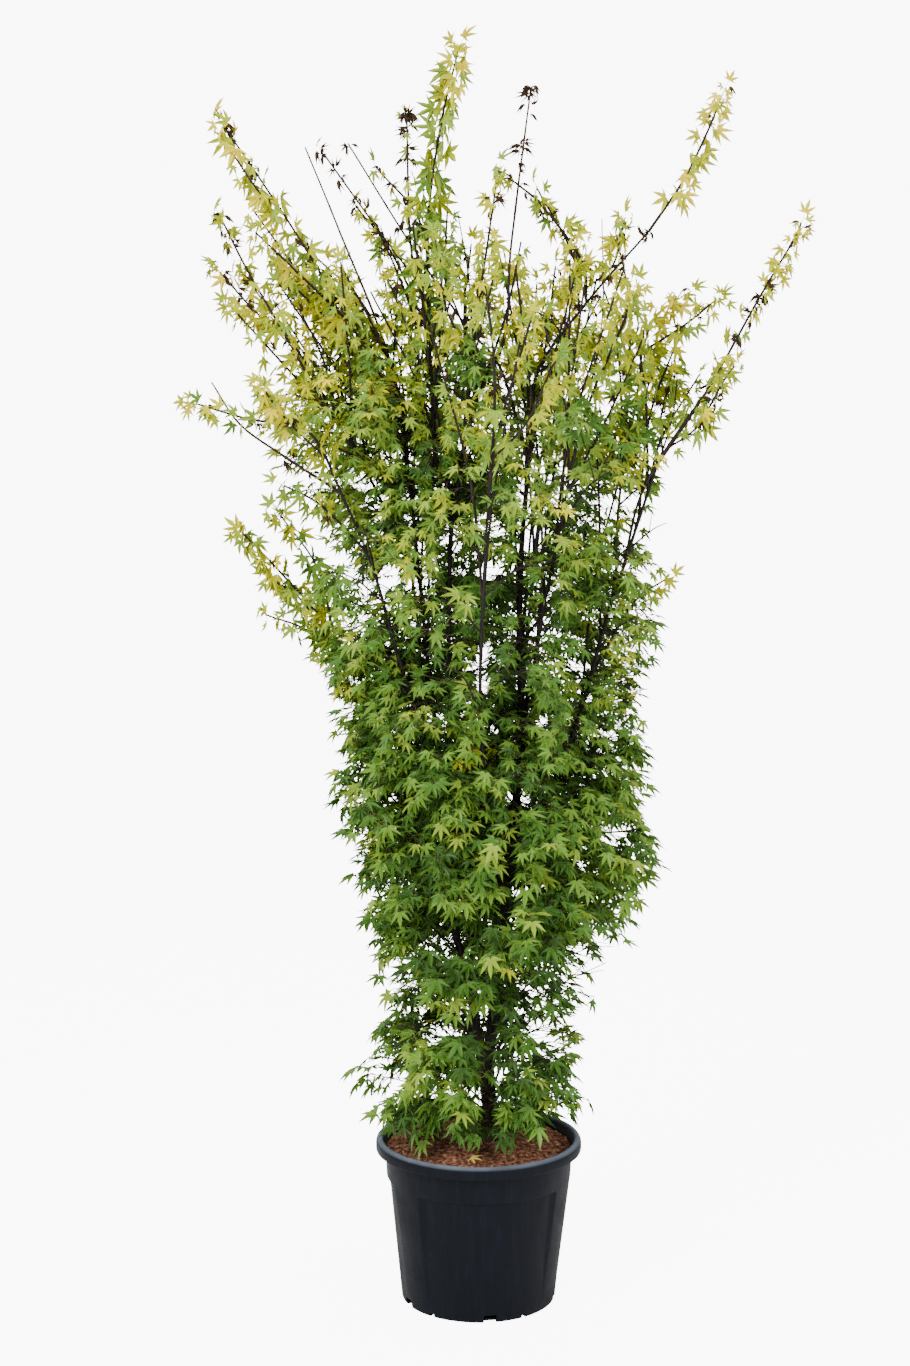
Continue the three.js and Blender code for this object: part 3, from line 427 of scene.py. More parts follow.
def group_at(base, direction, size, draw):
    """One group of leaves: it hangs outwards and down from its twig."""
    along = direction.copy()
    along.z -= 0.35 + 0.4 * draw()
    along.normalize()
    draw()  # the solids turn their leaf by this one
    return base, along, size * (0.85 + 0.3 * draw())


def groups_in_pairs(route, size, pairs, bare, draw):
    """The groups of leaves of a shoot: pairs along its stem and one at its end."""
    first = int(3 * draw())
    step = (1 - bare) / pairs
    groups = []
    for i in range(pairs):
        for half in (0, 1):
            t = bare + step * (i + GROUP_START + GROUP_STEP * half)
            out = one_of_pair(route, t, first + i, half, PAIR_OPENING, draw)
            groups.append(group_at(route.at(t), out, size, draw))
    groups.append(group_at(route.at(LAST_GROUP), route.heading(1), size, draw))
    return groups


def groups_of_spray(route, side, size, draw):
    """A spray's four side twigs, as (from, to) pairs, and its groups of leaves."""
    first = int(3 * draw())
    twigs, groups = [], []

    def beside(base, direction, way):
        flat = direction.cross(Vector((0, 0, 1))).normalized()
        return group_at(base, (direction * 0.5 + flat * way).normalized(), size, draw)

    for i, share in enumerate(TWIG_SHARES):
        for half in (0, 1):
            t = share + TWIG_STEP * half
            out = one_of_pair(route, t, first + i, half, TWIG_OPENING, draw)
            out.z = 0.6 * out.z + 0.06
            out.normalize()
            foot = route.at(t)
            tip = foot + out * side * (1.15 - 0.6 * t) * (0.8 + 0.4 * draw())
            if half:
                groups.append(beside(foot.lerp(tip, 0.55), out, -1 if i else 1))
            groups.append(group_at(tip, out, size, draw))
            twigs.append((foot, tip))
    ahead = route.heading(1)
    groups.append(group_at(route.at(LAST_GROUP), ahead, size, draw))
    groups.append(beside(route.at(0.88), ahead, 1 if first % 2 else -1))
    return twigs, groups


def spray_route(limb, share, direction, reach, rise):
    """A spray's stem, which rises most over its first half."""
    foot = limb.at(share)
    turn = math.radians(direction)
    out = Vector((math.cos(turn), math.sin(turn), 0))
    middle = foot + out * reach * 0.5 * MM + Vector((0, 0, rise * 0.68 * MM))
    tip = foot + out * reach * MM + Vector((0, 0, rise * MM))
    return Route([foot, middle, tip], 1)


# ------------------------------------------------------------------ finishes
def linear(hex_colour):
    """An sRGB hex value as linear red, green and blue."""
    parts = [int(hex_colour[i:i + 2], 16) / 255 for i in (0, 2, 4)]
    return [c / 12.92 if c <= 0.04045 else ((c + 0.055) / 1.055) ** 2.4 for c in parts]


def add_node(tree, kind, inputs=None, **settings):
    """Adds a node. An input that is given a socket is linked to it, any other is set."""
    made = tree.nodes.new(kind)
    for name, value in settings.items():
        setattr(made, name, value)
    for name, value in (inputs or {}).items():
        if isinstance(value, bpy.types.NodeSocket):
            tree.links.new(value, made.inputs[name])
        else:
            made.inputs[name].default_value = value
    return made


def new_material(name):
    material = bpy.data.materials.new(name)
    material.use_nodes = True
    material.node_tree.nodes.clear()
    return material, material.node_tree


def finish(tree, inputs):
    shader = add_node(tree, "ShaderNodeBsdfPrincipled", inputs)
    add_node(tree, "ShaderNodeOutputMaterial", {"Surface": shader.outputs["BSDF"]})


def pattern(tree, grain_mm, detail=3, stretch=(1, 1, 1), roughness=0.55):
    """A noise on Object coordinates whose lumps are about grain_mm across."""
    place = add_node(tree, "ShaderNodeTexCoord").outputs["Object"]
    place = add_node(tree, "ShaderNodeMapping", {"Vector": place, "Scale": stretch}).outputs["Vector"]
    return add_node(tree, "ShaderNodeTexNoise", {
        "Vector": place, "Scale": 1 / (grain_mm * MM), "Detail": detail, "Roughness": roughness,
    }).outputs["Fac"]


def shades(tree, fac, stops):
    """A ramp from hex colours at their places."""
    ramp = add_node(tree, "ShaderNodeValToRGB", {"Fac": fac})
    elements = ramp.color_ramp.elements
    while len(elements) < len(stops):
        elements.new(0.5)
    for element, (place, colour) in zip(elements, stops):
        element.position = place
        element.color = (*linear(colour), 1)
    return ramp.outputs["Color"]


def span(tree, value, low, high):
    """A pattern's middle spread over a range."""
    return add_node(tree, "ShaderNodeMapRange", {
        "Value": value, "From Min": 0.3, "From Max": 0.7, "To Min": low, "To Max": high}).outputs["Result"]


def bumps(tree, height, depth_mm, strength=1.0):
    return add_node(tree, "ShaderNodeBump", {
        "Height": height, "Distance": depth_mm * MM, "Strength": strength}).outputs["Normal"]


DUST_AND_HIGHLIGHT_FROM, DUST_AND_HIGHLIGHT_TO = 0.3235, 0.3295  # heights between which dust and a painted highlight thicken towards the lip's top


def moulded_polypropylene():
    """Injection-moulded nursery plastic, near-black with a blue cast: a satin skin that
    shows faint upright drag marks from handling and a paler band on its rim, partly a dusty bloom and partly
    a painted highlight."""
    material, tree = new_material("moulded_polypropylene")
    place = add_node(tree, "ShaderNodeTexCoord").outputs["Object"]
    height = add_node(tree, "ShaderNodeSeparateXYZ", {"Vector": place}).outputs["Z"]
    streaks = pattern(tree, 9, 4, (1, 1, 0.08))  # drag marks about 9 mm apart and ten times as long
    cloud = pattern(tree, 55, 3)
    skin = shades(tree, streaks, [(0.3, "090c12"), (0.52, "0b0e15"), (0.72, "0f131c")])
    # a pale grey-blue band towards the lip's top: partly dust, partly a painted highlight
    rim = add_node(tree, "ShaderNodeMapRange", {
        "Value": height, "From Min": DUST_AND_HIGHLIGHT_FROM, "From Max": DUST_AND_HIGHLIGHT_TO, "To Min": 0, "To Max": 0.75})
    dust_and_highlight = add_node(tree, "ShaderNodeMath", {
        0: rim.outputs["Result"], 1: span(tree, cloud, 0.55, 1)}, operation="MULTIPLY")
    mixed = add_node(tree, "ShaderNodeMix", {
        "Factor": dust_and_highlight.outputs[0], 6: skin, 7: (*linear("7a8494"), 1)}, data_type="RGBA")
    finish(tree, {
        "Base Color": mixed.outputs[2], "Roughness": span(tree, cloud, 0.42, 0.58), "IOR": 1.49,
        "Specular IOR Level": 0.10,
        "Normal": bumps(tree, pattern(tree, 2.5, 2), 0.12)})
    return material


def bark_compost():
    """Loose composted bark and peat: matt, crumbly, red-brown with paler fibres."""
    material, tree = new_material("bark_compost")
    crumbs = pattern(tree, 9, 5)
    colour = shades(tree, crumbs, [(0.32, "2e1c14"), (0.45, "6a4230"), (0.57, "94634a"), (0.7, "c99b78")])
    finish(tree, {
        "Base Color": colour, "Roughness": 0.95, "IOR": 1.45, "Specular IOR Level": 0.2,
        "Normal": bumps(tree, crumbs, 2.0)})
    return material


def living_bark(name, dark, middle, pale, grain_mm):
    """Smooth young bark with fine cracks drawn out along the stem and a dull waxy skin."""
    material, tree = new_material(name)
    grain = pattern(tree, grain_mm, 5, (1, 1, 0.15))
    colour = shades(tree, grain, [(0.34, dark), (0.5, middle), (0.7, pale)])
    finish(tree, {
        "Base Color": colour, "Roughness": span(tree, grain, 0.6, 0.8), "IOR": 1.45,
        "Specular IOR Level": 0.35, "Normal": bumps(tree, grain, 0.3)})
    return material


def leaf_blade(name, colour, gloss=0.32):
    """A thin satin leaf blade. Its tint is plain, and which spray has it gives the pattern."""
    material, tree = new_material(name)
    finish(tree, {
        "Base Color": (*linear(colour), 1), "Roughness": 0.45, "IOR": 1.42, "Specular IOR Level": gloss})
    return material


# ------------------------------------------------------------------ making meshes
def deselect():
    if bpy.context.object and bpy.context.object.mode != "OBJECT":
        bpy.ops.object.mode_set(mode="OBJECT")
    bpy.ops.object.select_all(action="DESELECT")


def select_only(obj):
    deselect()
    obj.select_set(True)
    bpy.context.view_layer.objects.active = obj


def settle(obj, name, material, smooth=35):
    """Bakes an object's place into its mesh, names it and gives it its finish."""
    select_only(obj)
    bpy.ops.object.transform_apply(location=True, rotation=True, scale=True)
    obj.name = obj.data.name = name
    obj.data.materials.clear()
    obj.data.materials.append(material)
    if smooth:
        bpy.ops.object.shade_smooth_by_angle(angle=math.radians(smooth))
    return obj


def mesh_from_arrays(name, points, faces, material, smooth=False):
    """A mesh of many small things from an array of points and one of triangles."""
    mesh = bpy.data.meshes.new(name)
    mesh.vertices.add(len(points))
    mesh.vertices.foreach_set("co", np.asarray(points, np.float32).ravel())
    mesh.loops.add(len(faces) * 3)
    mesh.loops.foreach_set("vertex_index", np.asarray(faces, np.int32).ravel())
    mesh.polygons.add(len(faces))
    mesh.polygons.foreach_set("loop_start", np.arange(0, len(faces) * 3, 3, dtype=np.int32))
    mesh.polygons.foreach_set("use_smooth", np.full(len(faces), smooth))
    mesh.update(calc_edges=True)
    mesh.validate()
    mesh.materials.append(material)
    obj = bpy.data.objects.new(name, mesh)
    bpy.context.scene.collection.objects.link(obj)
    return obj


def give_body(obj, nodes):
    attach(obj, "root")
    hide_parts(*nodes)


# ------------------------------------------------------------------ settings
def length_setting(name, description, metres):
    return FloatProperty(name=name, description=description, default=metres, unit="LENGTH")


class PotSettings(bpy.types.PropertyGroup):
    height: length_setting("Height", "Height of the pot", 0.330)
    base_radius: length_setting("Base radius", "Radius at the foot", 0.155)
    lip_radius: length_setting("Lip radius", "Radius of the rolled lip", 0.2065)
    facets: IntProperty(name="Facets", description="Facets round the pot", default=144, min=72)
    rib_proud: length_setting("Rib", "How far the three ribs stand proud at their foot", 0.0045)


class SoilSettings(bpy.types.PropertyGroup):
    top: length_setting("Top", "Height of the compost at the trunk", 0.320)
    edge: length_setting("Edge", "Height of the compost at the wall", 0.311)
    chips: IntProperty(name="Chips", description="Loose chips of bark on top", default=900, min=0)


class BarkSettings(bpy.types.PropertyGroup):
    relief: FloatProperty(name="Relief", description="Depth of the bark's relief, as a share of the radius",
                          default=0.09, min=0)
    node_spacing: length_setting("Node spacing", "Distance between the swellings of old buds", 0.085)


class FoliageSettings(bpy.types.PropertyGroup):
    leaf: length_setting("Leaf", "Length of a full-grown leaf", 0.035)
    spacing: length_setting("Pair spacing", "Distance between two pairs of leaves on a twig", 0.017)
    node_gap: length_setting("Node spacing", "Distance between two pairs of leaves on a shoot", 0.027)
    stalk: length_setting("Stalk", "Length of a leaf's stalk", 0.015)


class StudioSettings(bpy.types.PropertyGroup):
    floor: FloatVectorProperty(name="Floor", description="Colour of the floor", subtype="COLOR",
                               default=linear("f2f2f2"))
    key: FloatProperty(name="Key light", description="Power of the main soft light", default=289,
                       unit="POWER")
    fill: FloatProperty(name="Fill light", description="Power of the two other soft lights", default=90,
                        unit="POWER")


# ------------------------------------------------------------------ the pot
RIB_DIRECTIONS = -52, 68, 188  # degrees from the front, + to the right
RIB_HALF = 14  # degrees
RIB_FOOT, RIB_TOP = 0.020, 0.253  # heights between which the wall may be moved out
INSIDE_FOOT, INSIDE_SLOPE = 0.155, 0.09  # what lies within this cone is the wall's inside
WALL_FOOT, WALL_HEIGHT, COLLAR_RADIUS = 0.030, 0.224, 0.185
WALL_START = 0.0026  # how far the wall's foot stands out from the pot's
NOTCH_FIRST, NOTCHES = 8, 5  # degrees from the front, and how many
NOTCH_DEPTH = 0.03
# A wide notch and a small one beside it: degrees past the first, width and height.
NOTCH_PAIR = (0, 0.025, 0.016), (27, 0.011, 0.007)
EDGE_WIDTH, EDGE_ANGLE = 0.0009, 38  # what the edges are rounded by, and past which angle in degrees


def from_front(point):
    """Degrees round the pot from the front, + to the right."""
    return math.degrees(math.atan2(point.x, -point.y))


def turned_near(angle, centre, half):
    return abs((angle - centre + 180) % 360 - 180) < half


class MAPLE_OT_pot(bpy.types.Operator):
    """Adds the moulded pot: rolled lip, collar, three ribs and the drain notches of its foot"""
    bl_idname = "maple.add_pot"
    bl_label = "Add pot"

    def execute(self, context):
        plan = context.scene.maple_pot
        foot, lip, top = plan.base_radius, plan.lip_radius, plan.height
        # Radius and height, up the outside by foot, wall, collar and rolled lip, then down the inside.
        outside = [
            (foot - 0.004, 0), (foot - 0.0012, 0.0012), (foot, 0.004), (foot + 0.0012, 0.016),
            (foot + WALL_START, WALL_FOOT), (0.1784, 0.243), (0.179, 0.248), (0.1835, 0.2505),
            (COLLAR_RADIUS, 0.254), (0.1872, 0.296), (0.188, 0.304), (0.1905, 0.3052),
            (lip - 0.0025, 0.3052), (lip - 0.0006, 0.3064), (lip, 0.309), (lip, top - 0.010),
            (lip - 0.0010, top - 0.0055), (lip - 0.0036, top - 0.0020), (lip - 0.0072, top - 0.0004),
            (lip - 0.0098, top), (0.1945, top - 0.0005), (0.1925, top - 0.0022)]
        inside = [(0.1912, top - 0.006), (0.1865, top - 0.012), (0.1815, 0.301), (0.1755, 0.244),
                  (0.1515, 0.0055)]
        rings = outside + inside
        deselect()
        bpy.ops.mesh.primitive_circle_add(vertices=plan.facets, radius=rings[0][0], fill_type="NOTHING")
        pot = context.object
        bpy.ops.object.mode_set(mode="EDIT")
        bpy.ops.mesh.select_all(action="SELECT")
        bpy.ops.mesh.edge_face_add()
        for (r0, z0), (r1, z1) in zip(rings, rings[1:]):
            bpy.ops.mesh.extrude_region_move(TRANSFORM_OT_translate={"value": (0, 0, z1 - z0)})
            bpy.ops.transform.resize(value=(r1 / r0, r1 / r0, 1), center_override=(0, 0, z1))
        bpy.ops.mesh.select_all(action="SELECT")
        bpy.ops.mesh.normals_make_consistent(inside=False)
        bpy.ops.object.mode_set(mode="OBJECT")
        self.raise_ribs(pot, foot + WALL_START + plan.rib_proud)
        self.cut_notches(pot, foot)
        bevel = pot.modifiers.new("edges", "BEVEL")
        bevel.width, bevel.segments = EDGE_WIDTH, 2
        bevel.limit_method, bevel.angle_limit = "ANGLE", math.radians(EDGE_ANGLE)
        select_only(pot)
        bpy.ops.object.modifier_apply(modifier=bevel.name)
        settle(pot, "nursery_pot", moulded_polypropylene())
        give_body(pot, ["pot"])
        return {"FINISHED"}

    def raise_ribs(self, pot, low):
        """Moves three broad strips of the wall out, so that they run up flush into the collar."""
        for v in pot.data.vertices:
            r, z = math.hypot(v.co.x, v.co.y), v.co.z
            if not RIB_FOOT < z < RIB_TOP or r < INSIDE_FOOT + INSIDE_SLOPE * z:
                continue
            if any(turned_near(from_front(v.co), rib, RIB_HALF) for rib in RIB_DIRECTIONS):
                out = (low + (COLLAR_RADIUS - low) * (z - WALL_FOOT) / WALL_HEIGHT) / r
                v.co.x, v.co.y = v.co.x * out, v.co.y * out

    def cut_notches(self, pot, foot):
        """Cuts the five wide notches of the foot and a small one beside each."""
        cutters = []
        for i in range(NOTCHES):
            for extra, width, high in NOTCH_PAIR:
                turn = math.radians(NOTCH_FIRST + extra + 360 * i / NOTCHES)
                deselect()
                bpy.ops.mesh.primitive_cube_add(
                    size=1, location=(foot * math.sin(turn), -foot * math.cos(turn), 0),
                    rotation=(0, 0, turn), scale=(width, NOTCH_DEPTH, 2 * high))
                cutters.append(bpy.context.object)
        deselect()
        for cutter in cutters:
            cutter.select_set(True)
        bpy.context.view_layer.objects.active = cutters[0]
        bpy.ops.object.join()
        tool = bpy.context.object
        bpy.ops.object.transform_apply(location=True, rotation=True, scale=True)
        cut = pot.modifiers.new("notches", "BOOLEAN")
        cut.operation, cut.object, cut.solver = "DIFFERENCE", tool, "EXACT"
        select_only(pot)
        bpy.ops.object.modifier_apply(modifier=cut.name)
        bpy.data.objects.remove(tool)


# ------------------------------------------------------------------ the compost
BED_RADIUS, BED_SIDES, BED_RINGS = 0.1848, 120, 36
HEAP_TOP, HEAP_RUN, HEAP_CURVE = 0.05, 0.13, 1.3  # radius of the level top, and how it falls from there
LUMPS = (0.0024, 0.3, 0.014), (0.0016, 0.7, 0.006)  # height, layer of the noise and size of the lumps
CHIPS_SEED, CHIPS_RADIUS = 811, 0.178
# A chip's corners, in half sizes from its middle, and its sides as rows of corners.
CHIP_CORNERS = ((-1, -0.5, -0.6), (0.9, -0.7, -0.5), (1, 0.6, -0.6), (-0.8, 0.8, -0.5),
                (-0.7, -0.4, 0.6), (0.6, -0.5, 0.8), (0.8, 0.3, 0.6), (-0.6, 0.5, 0.7))
CHIP_SIDES = (0, 3, 2, 1), (4, 5, 6, 7), (0, 1, 5, 4), (1, 2, 6, 5), (2, 3, 7, 6), (3, 0, 4, 7)


def compost_height(x, y, top, edge):
    """The compost's lumpy surface."""
    heap = top - (top - edge) * max(0, (math.hypot(x, y) - HEAP_TOP) / HEAP_RUN) ** HEAP_CURVE
    return heap + sum(high * noise.noise(Vector((x, y, layer)) / size) for high, layer, size in LUMPS)


class MAPLE_OT_soil(bpy.types.Operator):
    """Adds the bark compost with its loose chips and one fallen leaf"""
    bl_idname = "maple.add_soil"
    bl_label = "Add compost"

    def execute(self, context):
        plan = context.scene.maple_soil
        crumbly = bark_compost()
        self.bed(plan, crumbly)
        self.chips(plan, crumbly)
        fallen = LeafBatch()
        fallen.add(Vector((-0.016, -0.118, 0.3225)), Vector((0.8, -0.45, 0.03)), Vector((0.05, -0.35, 1)),
                   0.026, 1)
        leaf = fallen.mesh("fallen_leaf", leaf_blade("fallen_leaf_straw", "e6cd66"))
        give_body(leaf, ["soil"])
        return {"FINISHED"}

    def bed(self, plan, crumbly):
        """A disk of many rings, moved up and down to the compost's surface."""
        deselect()
        bpy.ops.mesh.primitive_circle_add(vertices=BED_SIDES, radius=BED_RADIUS, fill_type="NOTHING",
                                          location=(0, 0, plan.edge))
        bed = bpy.context.object
        bpy.ops.object.mode_set(mode="EDIT")
        bpy.ops.mesh.select_all(action="SELECT")
        rings = BED_RINGS + 1
        for ring in range(BED_RINGS):
            shrink = (BED_RADIUS * (1 - (ring + 1) / rings)) / (BED_RADIUS * (1 - ring / rings))
            bpy.ops.mesh.extrude_region_move()
            bpy.ops.transform.resize(value=(shrink, shrink, 1), center_override=(0, 0, plan.edge))
        bpy.ops.mesh.edge_face_add()
        bpy.ops.mesh.select_all(action="SELECT")
        bpy.ops.mesh.normals_make_consistent(inside=False)
        bpy.ops.object.mode_set(mode="OBJECT")
        select_only(bed)
        bpy.ops.object.transform_apply(location=True, rotation=True, scale=True)
        for v in bed.data.vertices:
            v.co.z = compost_height(v.co.x, v.co.y, plan.top, plan.edge)
        if bed.data.polygons[0].normal.z < 0:
            bed.data.flip_normals()
        settle(bed, "compost_bed", crumbly, 60)
        give_body(bed, ["soil"])

    def chips(self, plan, crumbly):
        """Flat scraps of bark 3 to 12 mm long, lying about on the bed."""
        draw = seeded(CHIPS_SEED)
        points, faces = [], []
        for _ in range(plan.chips):
            r, turn = CHIPS_RADIUS * math.sqrt(draw()), TURN * draw()
            x, y = r * math.cos(turn), r * math.sin(turn)
            long = (3 + 9 * draw() ** 2) * MM
            size = Vector((long, long * (0.3 + 0.4 * draw()), long * (0.15 + 0.25 * draw())))
            lie = Matrix.Rotation(TURN * draw(), 3, "Z") @ Matrix.Rotation(1.1 * (draw() - 0.5), 3, "Y")
            centre = Vector((x, y, compost_height(x, y, plan.top, plan.edge) + size.z * 0.5))
            start = len(points)
            for corner in CHIP_CORNERS:
                rough = Vector((c * s * (0.8 + 0.4 * draw()) for c, s in zip(corner, size))) / 2
                points.append(centre + lie @ rough)
            for a, b, c, d in CHIP_SIDES:
                faces += [(start + a, start + b, start + c), (start + a, start + c, start + d)]
        scraps = mesh_from_arrays("bark_chips", points, faces, crumbly)
        give_body(scraps, ["soil"])


# ------------------------------------------------------------------ the limbs
def trunk_radius(t):
    """The trunk's radius: a root flare over its lowest third and a swelling below its fork."""
    flare, middle, fork = TRUNK_RADII
    root = (flare - middle) * max(0, 1 - t / 0.35) ** 2
    swelling = (fork - middle) * max(0, (t - 0.6) / 0.4)
    return (middle + root + swelling) * MM


def even_taper(foot, tip, girth=1):
    """The radius rule of a limb that tapers evenly from its foot to its tip."""
    foot, tip = girth * foot, girth * tip
    return lambda t: (foot + (tip - foot) * t) * MM


RING_STEP = 0.009  # between two rings of a limb's mesh
BUD_HALF, BUD_SWELL = 0.0045, 0.13  # an old bud's swelling: its half length and its share of the radius
COLLAR_RUN = 0.016  # how fast the collar at a limb's foot dies away
TRUNK_SEED, SIDE_STEM_SEED, LIMB_SEED, WHIP_SEED = 5, 6, 100, 200  # the last two are their first ones
SWAY, SWAY_SHARE, SWAY_RATE = 0.004, 0.4, 9  # how far a limb strays from its route, and how often
RIDGE_WIDTH, RIDGE_LENGTH, KNOB_SIZE, KNOB_SHARE = 0.005, 0.05, 0.018, 0.6


def barked_limb(name, route, radius_at, material, plan, seed, collar=0.5, sides=10):
    """A limb drawn as a curve with a radius at each point, made a mesh and given its bark's relief."""
    phase = seeded(seed)()
    length = route.length()
    count = max(12, int(length / RING_STEP))
    curve = bpy.data.curves.new(name, "CURVE")
    curve.dimensions, curve.bevel_depth, curve.bevel_resolution = "3D", 1.0, (sides - 4) // 2
    curve.use_fill_caps = True
    spline = curve.splines.new("POLY")
    spline.points.add(count)
    for i in range(count + 1):
        t = i / count
        run = t * length
        past_bud = ((run / plan.node_spacing + phase) % 1 - 0.5) * plan.node_spacing
        bud = math.exp(-(past_bud / BUD_HALF) ** 2)
        foot = math.exp(-run / COLLAR_RUN)
        radius = radius_at(t) * (1 + BUD_SWELL * bud + collar * foot)
        sway = Vector((*(noise.noise(Vector((run * SWAY_RATE, seed, layer))) for layer in (0, 5)), 0))
        stray = min(SWAY, SWAY_SHARE * radius)
        spot = route.at(t) + sway * stray * min(1, 6 * t) * min(1, 6 * (1 - t))
        spline.points[i].co = (*spot, 1)
        spline.points[i].radius = radius
    obj = bpy.data.objects.new(name, curve)
    bpy.context.scene.collection.objects.link(obj)
    select_only(obj)
    bpy.ops.object.convert(target="MESH")
    obj = bpy.context.object
    bpy.ops.object.mode_set(mode="EDIT")
    bpy.ops.mesh.select_all(action="SELECT")
    bpy.ops.mesh.remove_doubles(threshold=0.00005)
    bpy.ops.mesh.normals_make_consistent(inside=False)
    bpy.ops.object.mode_set(mode="OBJECT")
    middle = radius_at(0.5)
    moves = []
    for v in obj.data.vertices:
        p = v.co
        ridges = noise.noise(Vector((p.x / RIDGE_WIDTH, p.y / RIDGE_WIDTH, p.z / RIDGE_LENGTH)))
        knobs = noise.noise(p / KNOB_SIZE)
        moves.append(p + v.normal * middle * plan.relief * (ridges + KNOB_SHARE * knobs))
    for v, p in zip(obj.data.vertices, moves):
        v.co = p
    return settle(obj, f"{name}_bark", material, 60)


class MAPLE_OT_limbs(bpy.types.Operator):
    """Adds the trunk, stems, boughs and bare whips with the relief of their bark"""
    bl_idname = "maple.add_limbs"
    bl_label = "Add limbs"

    def execute(self, context):
        plan = context.scene.maple_bark
        old = living_bark("old_maple_bark", "0d0a09", "1a1512", "332b24", 2.4)
        young = living_bark("olive_young_bark", "2c2c17", "4b4b28", "6a6438", 2.0)
        whip = living_bark("red_brown_whip_bark", "1d1210", "33211d", "4a342c", 2.0)
        brown = living_bark("brown_trunk_bark", "1b1411", "33261d", "57432f", 2.6)
        trunk = barked_limb("trunk", Route(TRUNK), trunk_radius, brown, plan, TRUNK_SEED, 0.15, 14)
        give_body(trunk, ["trunk"])
        side_stem = barked_limb("side_stem", Route(SIDE_STEM), even_taper(*SIDE_STEM_RADII), old, plan,
                                SIDE_STEM_SEED, 0.3, 8)
        give_body(side_stem, ["trunk"])
        for number, (name, (radii, stations)) in enumerate(LIMBS.items()):
            bark, slot = (young, "young_bark") if name == "olive_bough" else (old, "old_bark")
            limb = barked_limb(name, Route(stations), even_taper(*radii), bark, plan, LIMB_SEED + number,
                               sides=12 if radii[0] > 8 else 10)
            give_body(limb, [name])
        for number, (name, (radii, stations)) in enumerate(WHIPS.items()):
            limb = barked_limb(name, Route(stations), even_taper(*radii, WHIP_GIRTH), whip, plan,
                               WHIP_SEED + number, 0.2, 8)
            give_body(limb, [name])
        return {"FINISHED"}


# ------------------------------------------------------------------ leaves
BAY, HEEL = 0.30, 0.12  # how far the bays between lobes and the two beside the stalk reach
BELLY = 0.56  # where along a lobe it is widest


def blade(lobes, droop, fold, narrow):
    """A palmate leaf of length 1 as points (along, across, up) and triangles.

    Each lobe is creased along its middle and ends in a drawn-out tip that droops.
    """
    points = [(0.0, 0.0, 0.0)]
    faces = []

    def spot(turn, r, lift):
        points.append((r * math.cos(turn), r * math.sin(turn), lift - droop * r * r))
        return len(points) - 1

    edges = [math.radians((a[0] + b[0]) / 2) for a, b in zip(lobes, lobes[1:])]
    first, last = math.radians(lobes[0][0]), math.radians(lobes[-1][0])
    edges = [first - (edges[0] - first)] + edges + [last + (last - edges[-1])]
    bays = [spot(turn, BAY if 0 < k < len(edges) - 1 else HEEL, fold) for k, turn in enumerate(edges)]
    for k, (degrees, reach) in enumerate(lobes):
        turn = math.radians(degrees)
        wide = narrow * reach
        left = spot(turn - wide / BELLY, BELLY * reach, fold)
        right = spot(turn + wide / BELLY, BELLY * reach, fold)
        tip = spot(turn, reach, 0)
        faces += [(0, bays[k], left), (0, left, tip), (0, tip, right), (0, right, bays[k + 1])]
    return np.array(points), np.array(faces)


# Each lobe's direction in degrees and its reach.
SEVEN_LOBES = [(-128, 0.42), (-82, 0.72), (-39, 0.92), (0, 1.0), (39, 0.92), (82, 0.72), (128, 0.42)]
FIVE_LOBES = [(-88, 0.6), (-43, 0.88), (0, 1.0), (43, 0.88), (88, 0.6)]
BLADES = [
    blade(SEVEN_LOBES, 0.18, 0.035, 0.12),
    blade(FIVE_LOBES, 0.12, 0.04, 0.13),
    blade(SEVEN_LOBES, 0.34, 0.05, 0.11),
    blade(FIVE_LOBES, 0.26, 0.06, 0.14),
    blade(FIVE_LOBES, 0.95, 0.16, 0.10),  # dried and curled up
]
CURLED = 4


class LeafBatch:
    """Leaves of one tint, gathered and then made one mesh."""

    def __init__(self):
        self.rows = [[] for _ in BLADES]

    def add(self, base, along, up, size, kind):
        self.rows[kind].append((*base, *along, *up, size))

    def mesh(self, name, material):
        points, faces, start = [], [], 0
        for (outline, triangles), rows in zip(BLADES, self.rows):
            if not rows:
                continue
            rows = np.array(rows)
            along = rows[:, 3:6] / np.linalg.norm(rows[:, 3:6], axis=1, keepdims=True)
            side = np.cross(rows[:, 6:9], along)
            side /= np.linalg.norm(side, axis=1, keepdims=True)
            up = np.cross(along, side)
            spots = (along[:, None] * outline[None, :, :1] + side[:, None] * outline[None, :, 1:2]
                     + up[:, None] * outline[None, :, 2:])
            points.append((rows[:, None, :3] + spots * rows[:, None, 9:]).reshape(-1, 3))
            shift = start + np.arange(len(rows))[:, None, None] * len(outline)
            faces.append((triangles[None] + shift).reshape(-1, 3))
            start += len(rows) * len(outline)
        return mesh_from_arrays(name, np.concatenate(points), np.concatenate(faces), material)


# Radii of the twigs at their feet and tips, in metres.
SHOOT_FOOT, FORK_FOOT, SHOOT_TIP = 0.0033, 0.0024, 0.0021
SPRAY_FOOT, FINE_SPRAY_FOOT, SPRAY_TIP = 0.0030, 0.0022, 0.0009
RUNNER_RADII, BARE_RADII, SIDE_RADII = (0.0029, 0.0018), (0.0022, 0.0011), (0.0013, 0.0009)
END_RADII, GROUP_RADII, STALK_RADII = (0.0014, 0.0010), (0.0011, 0.0007), (0.0006, 0.0005)


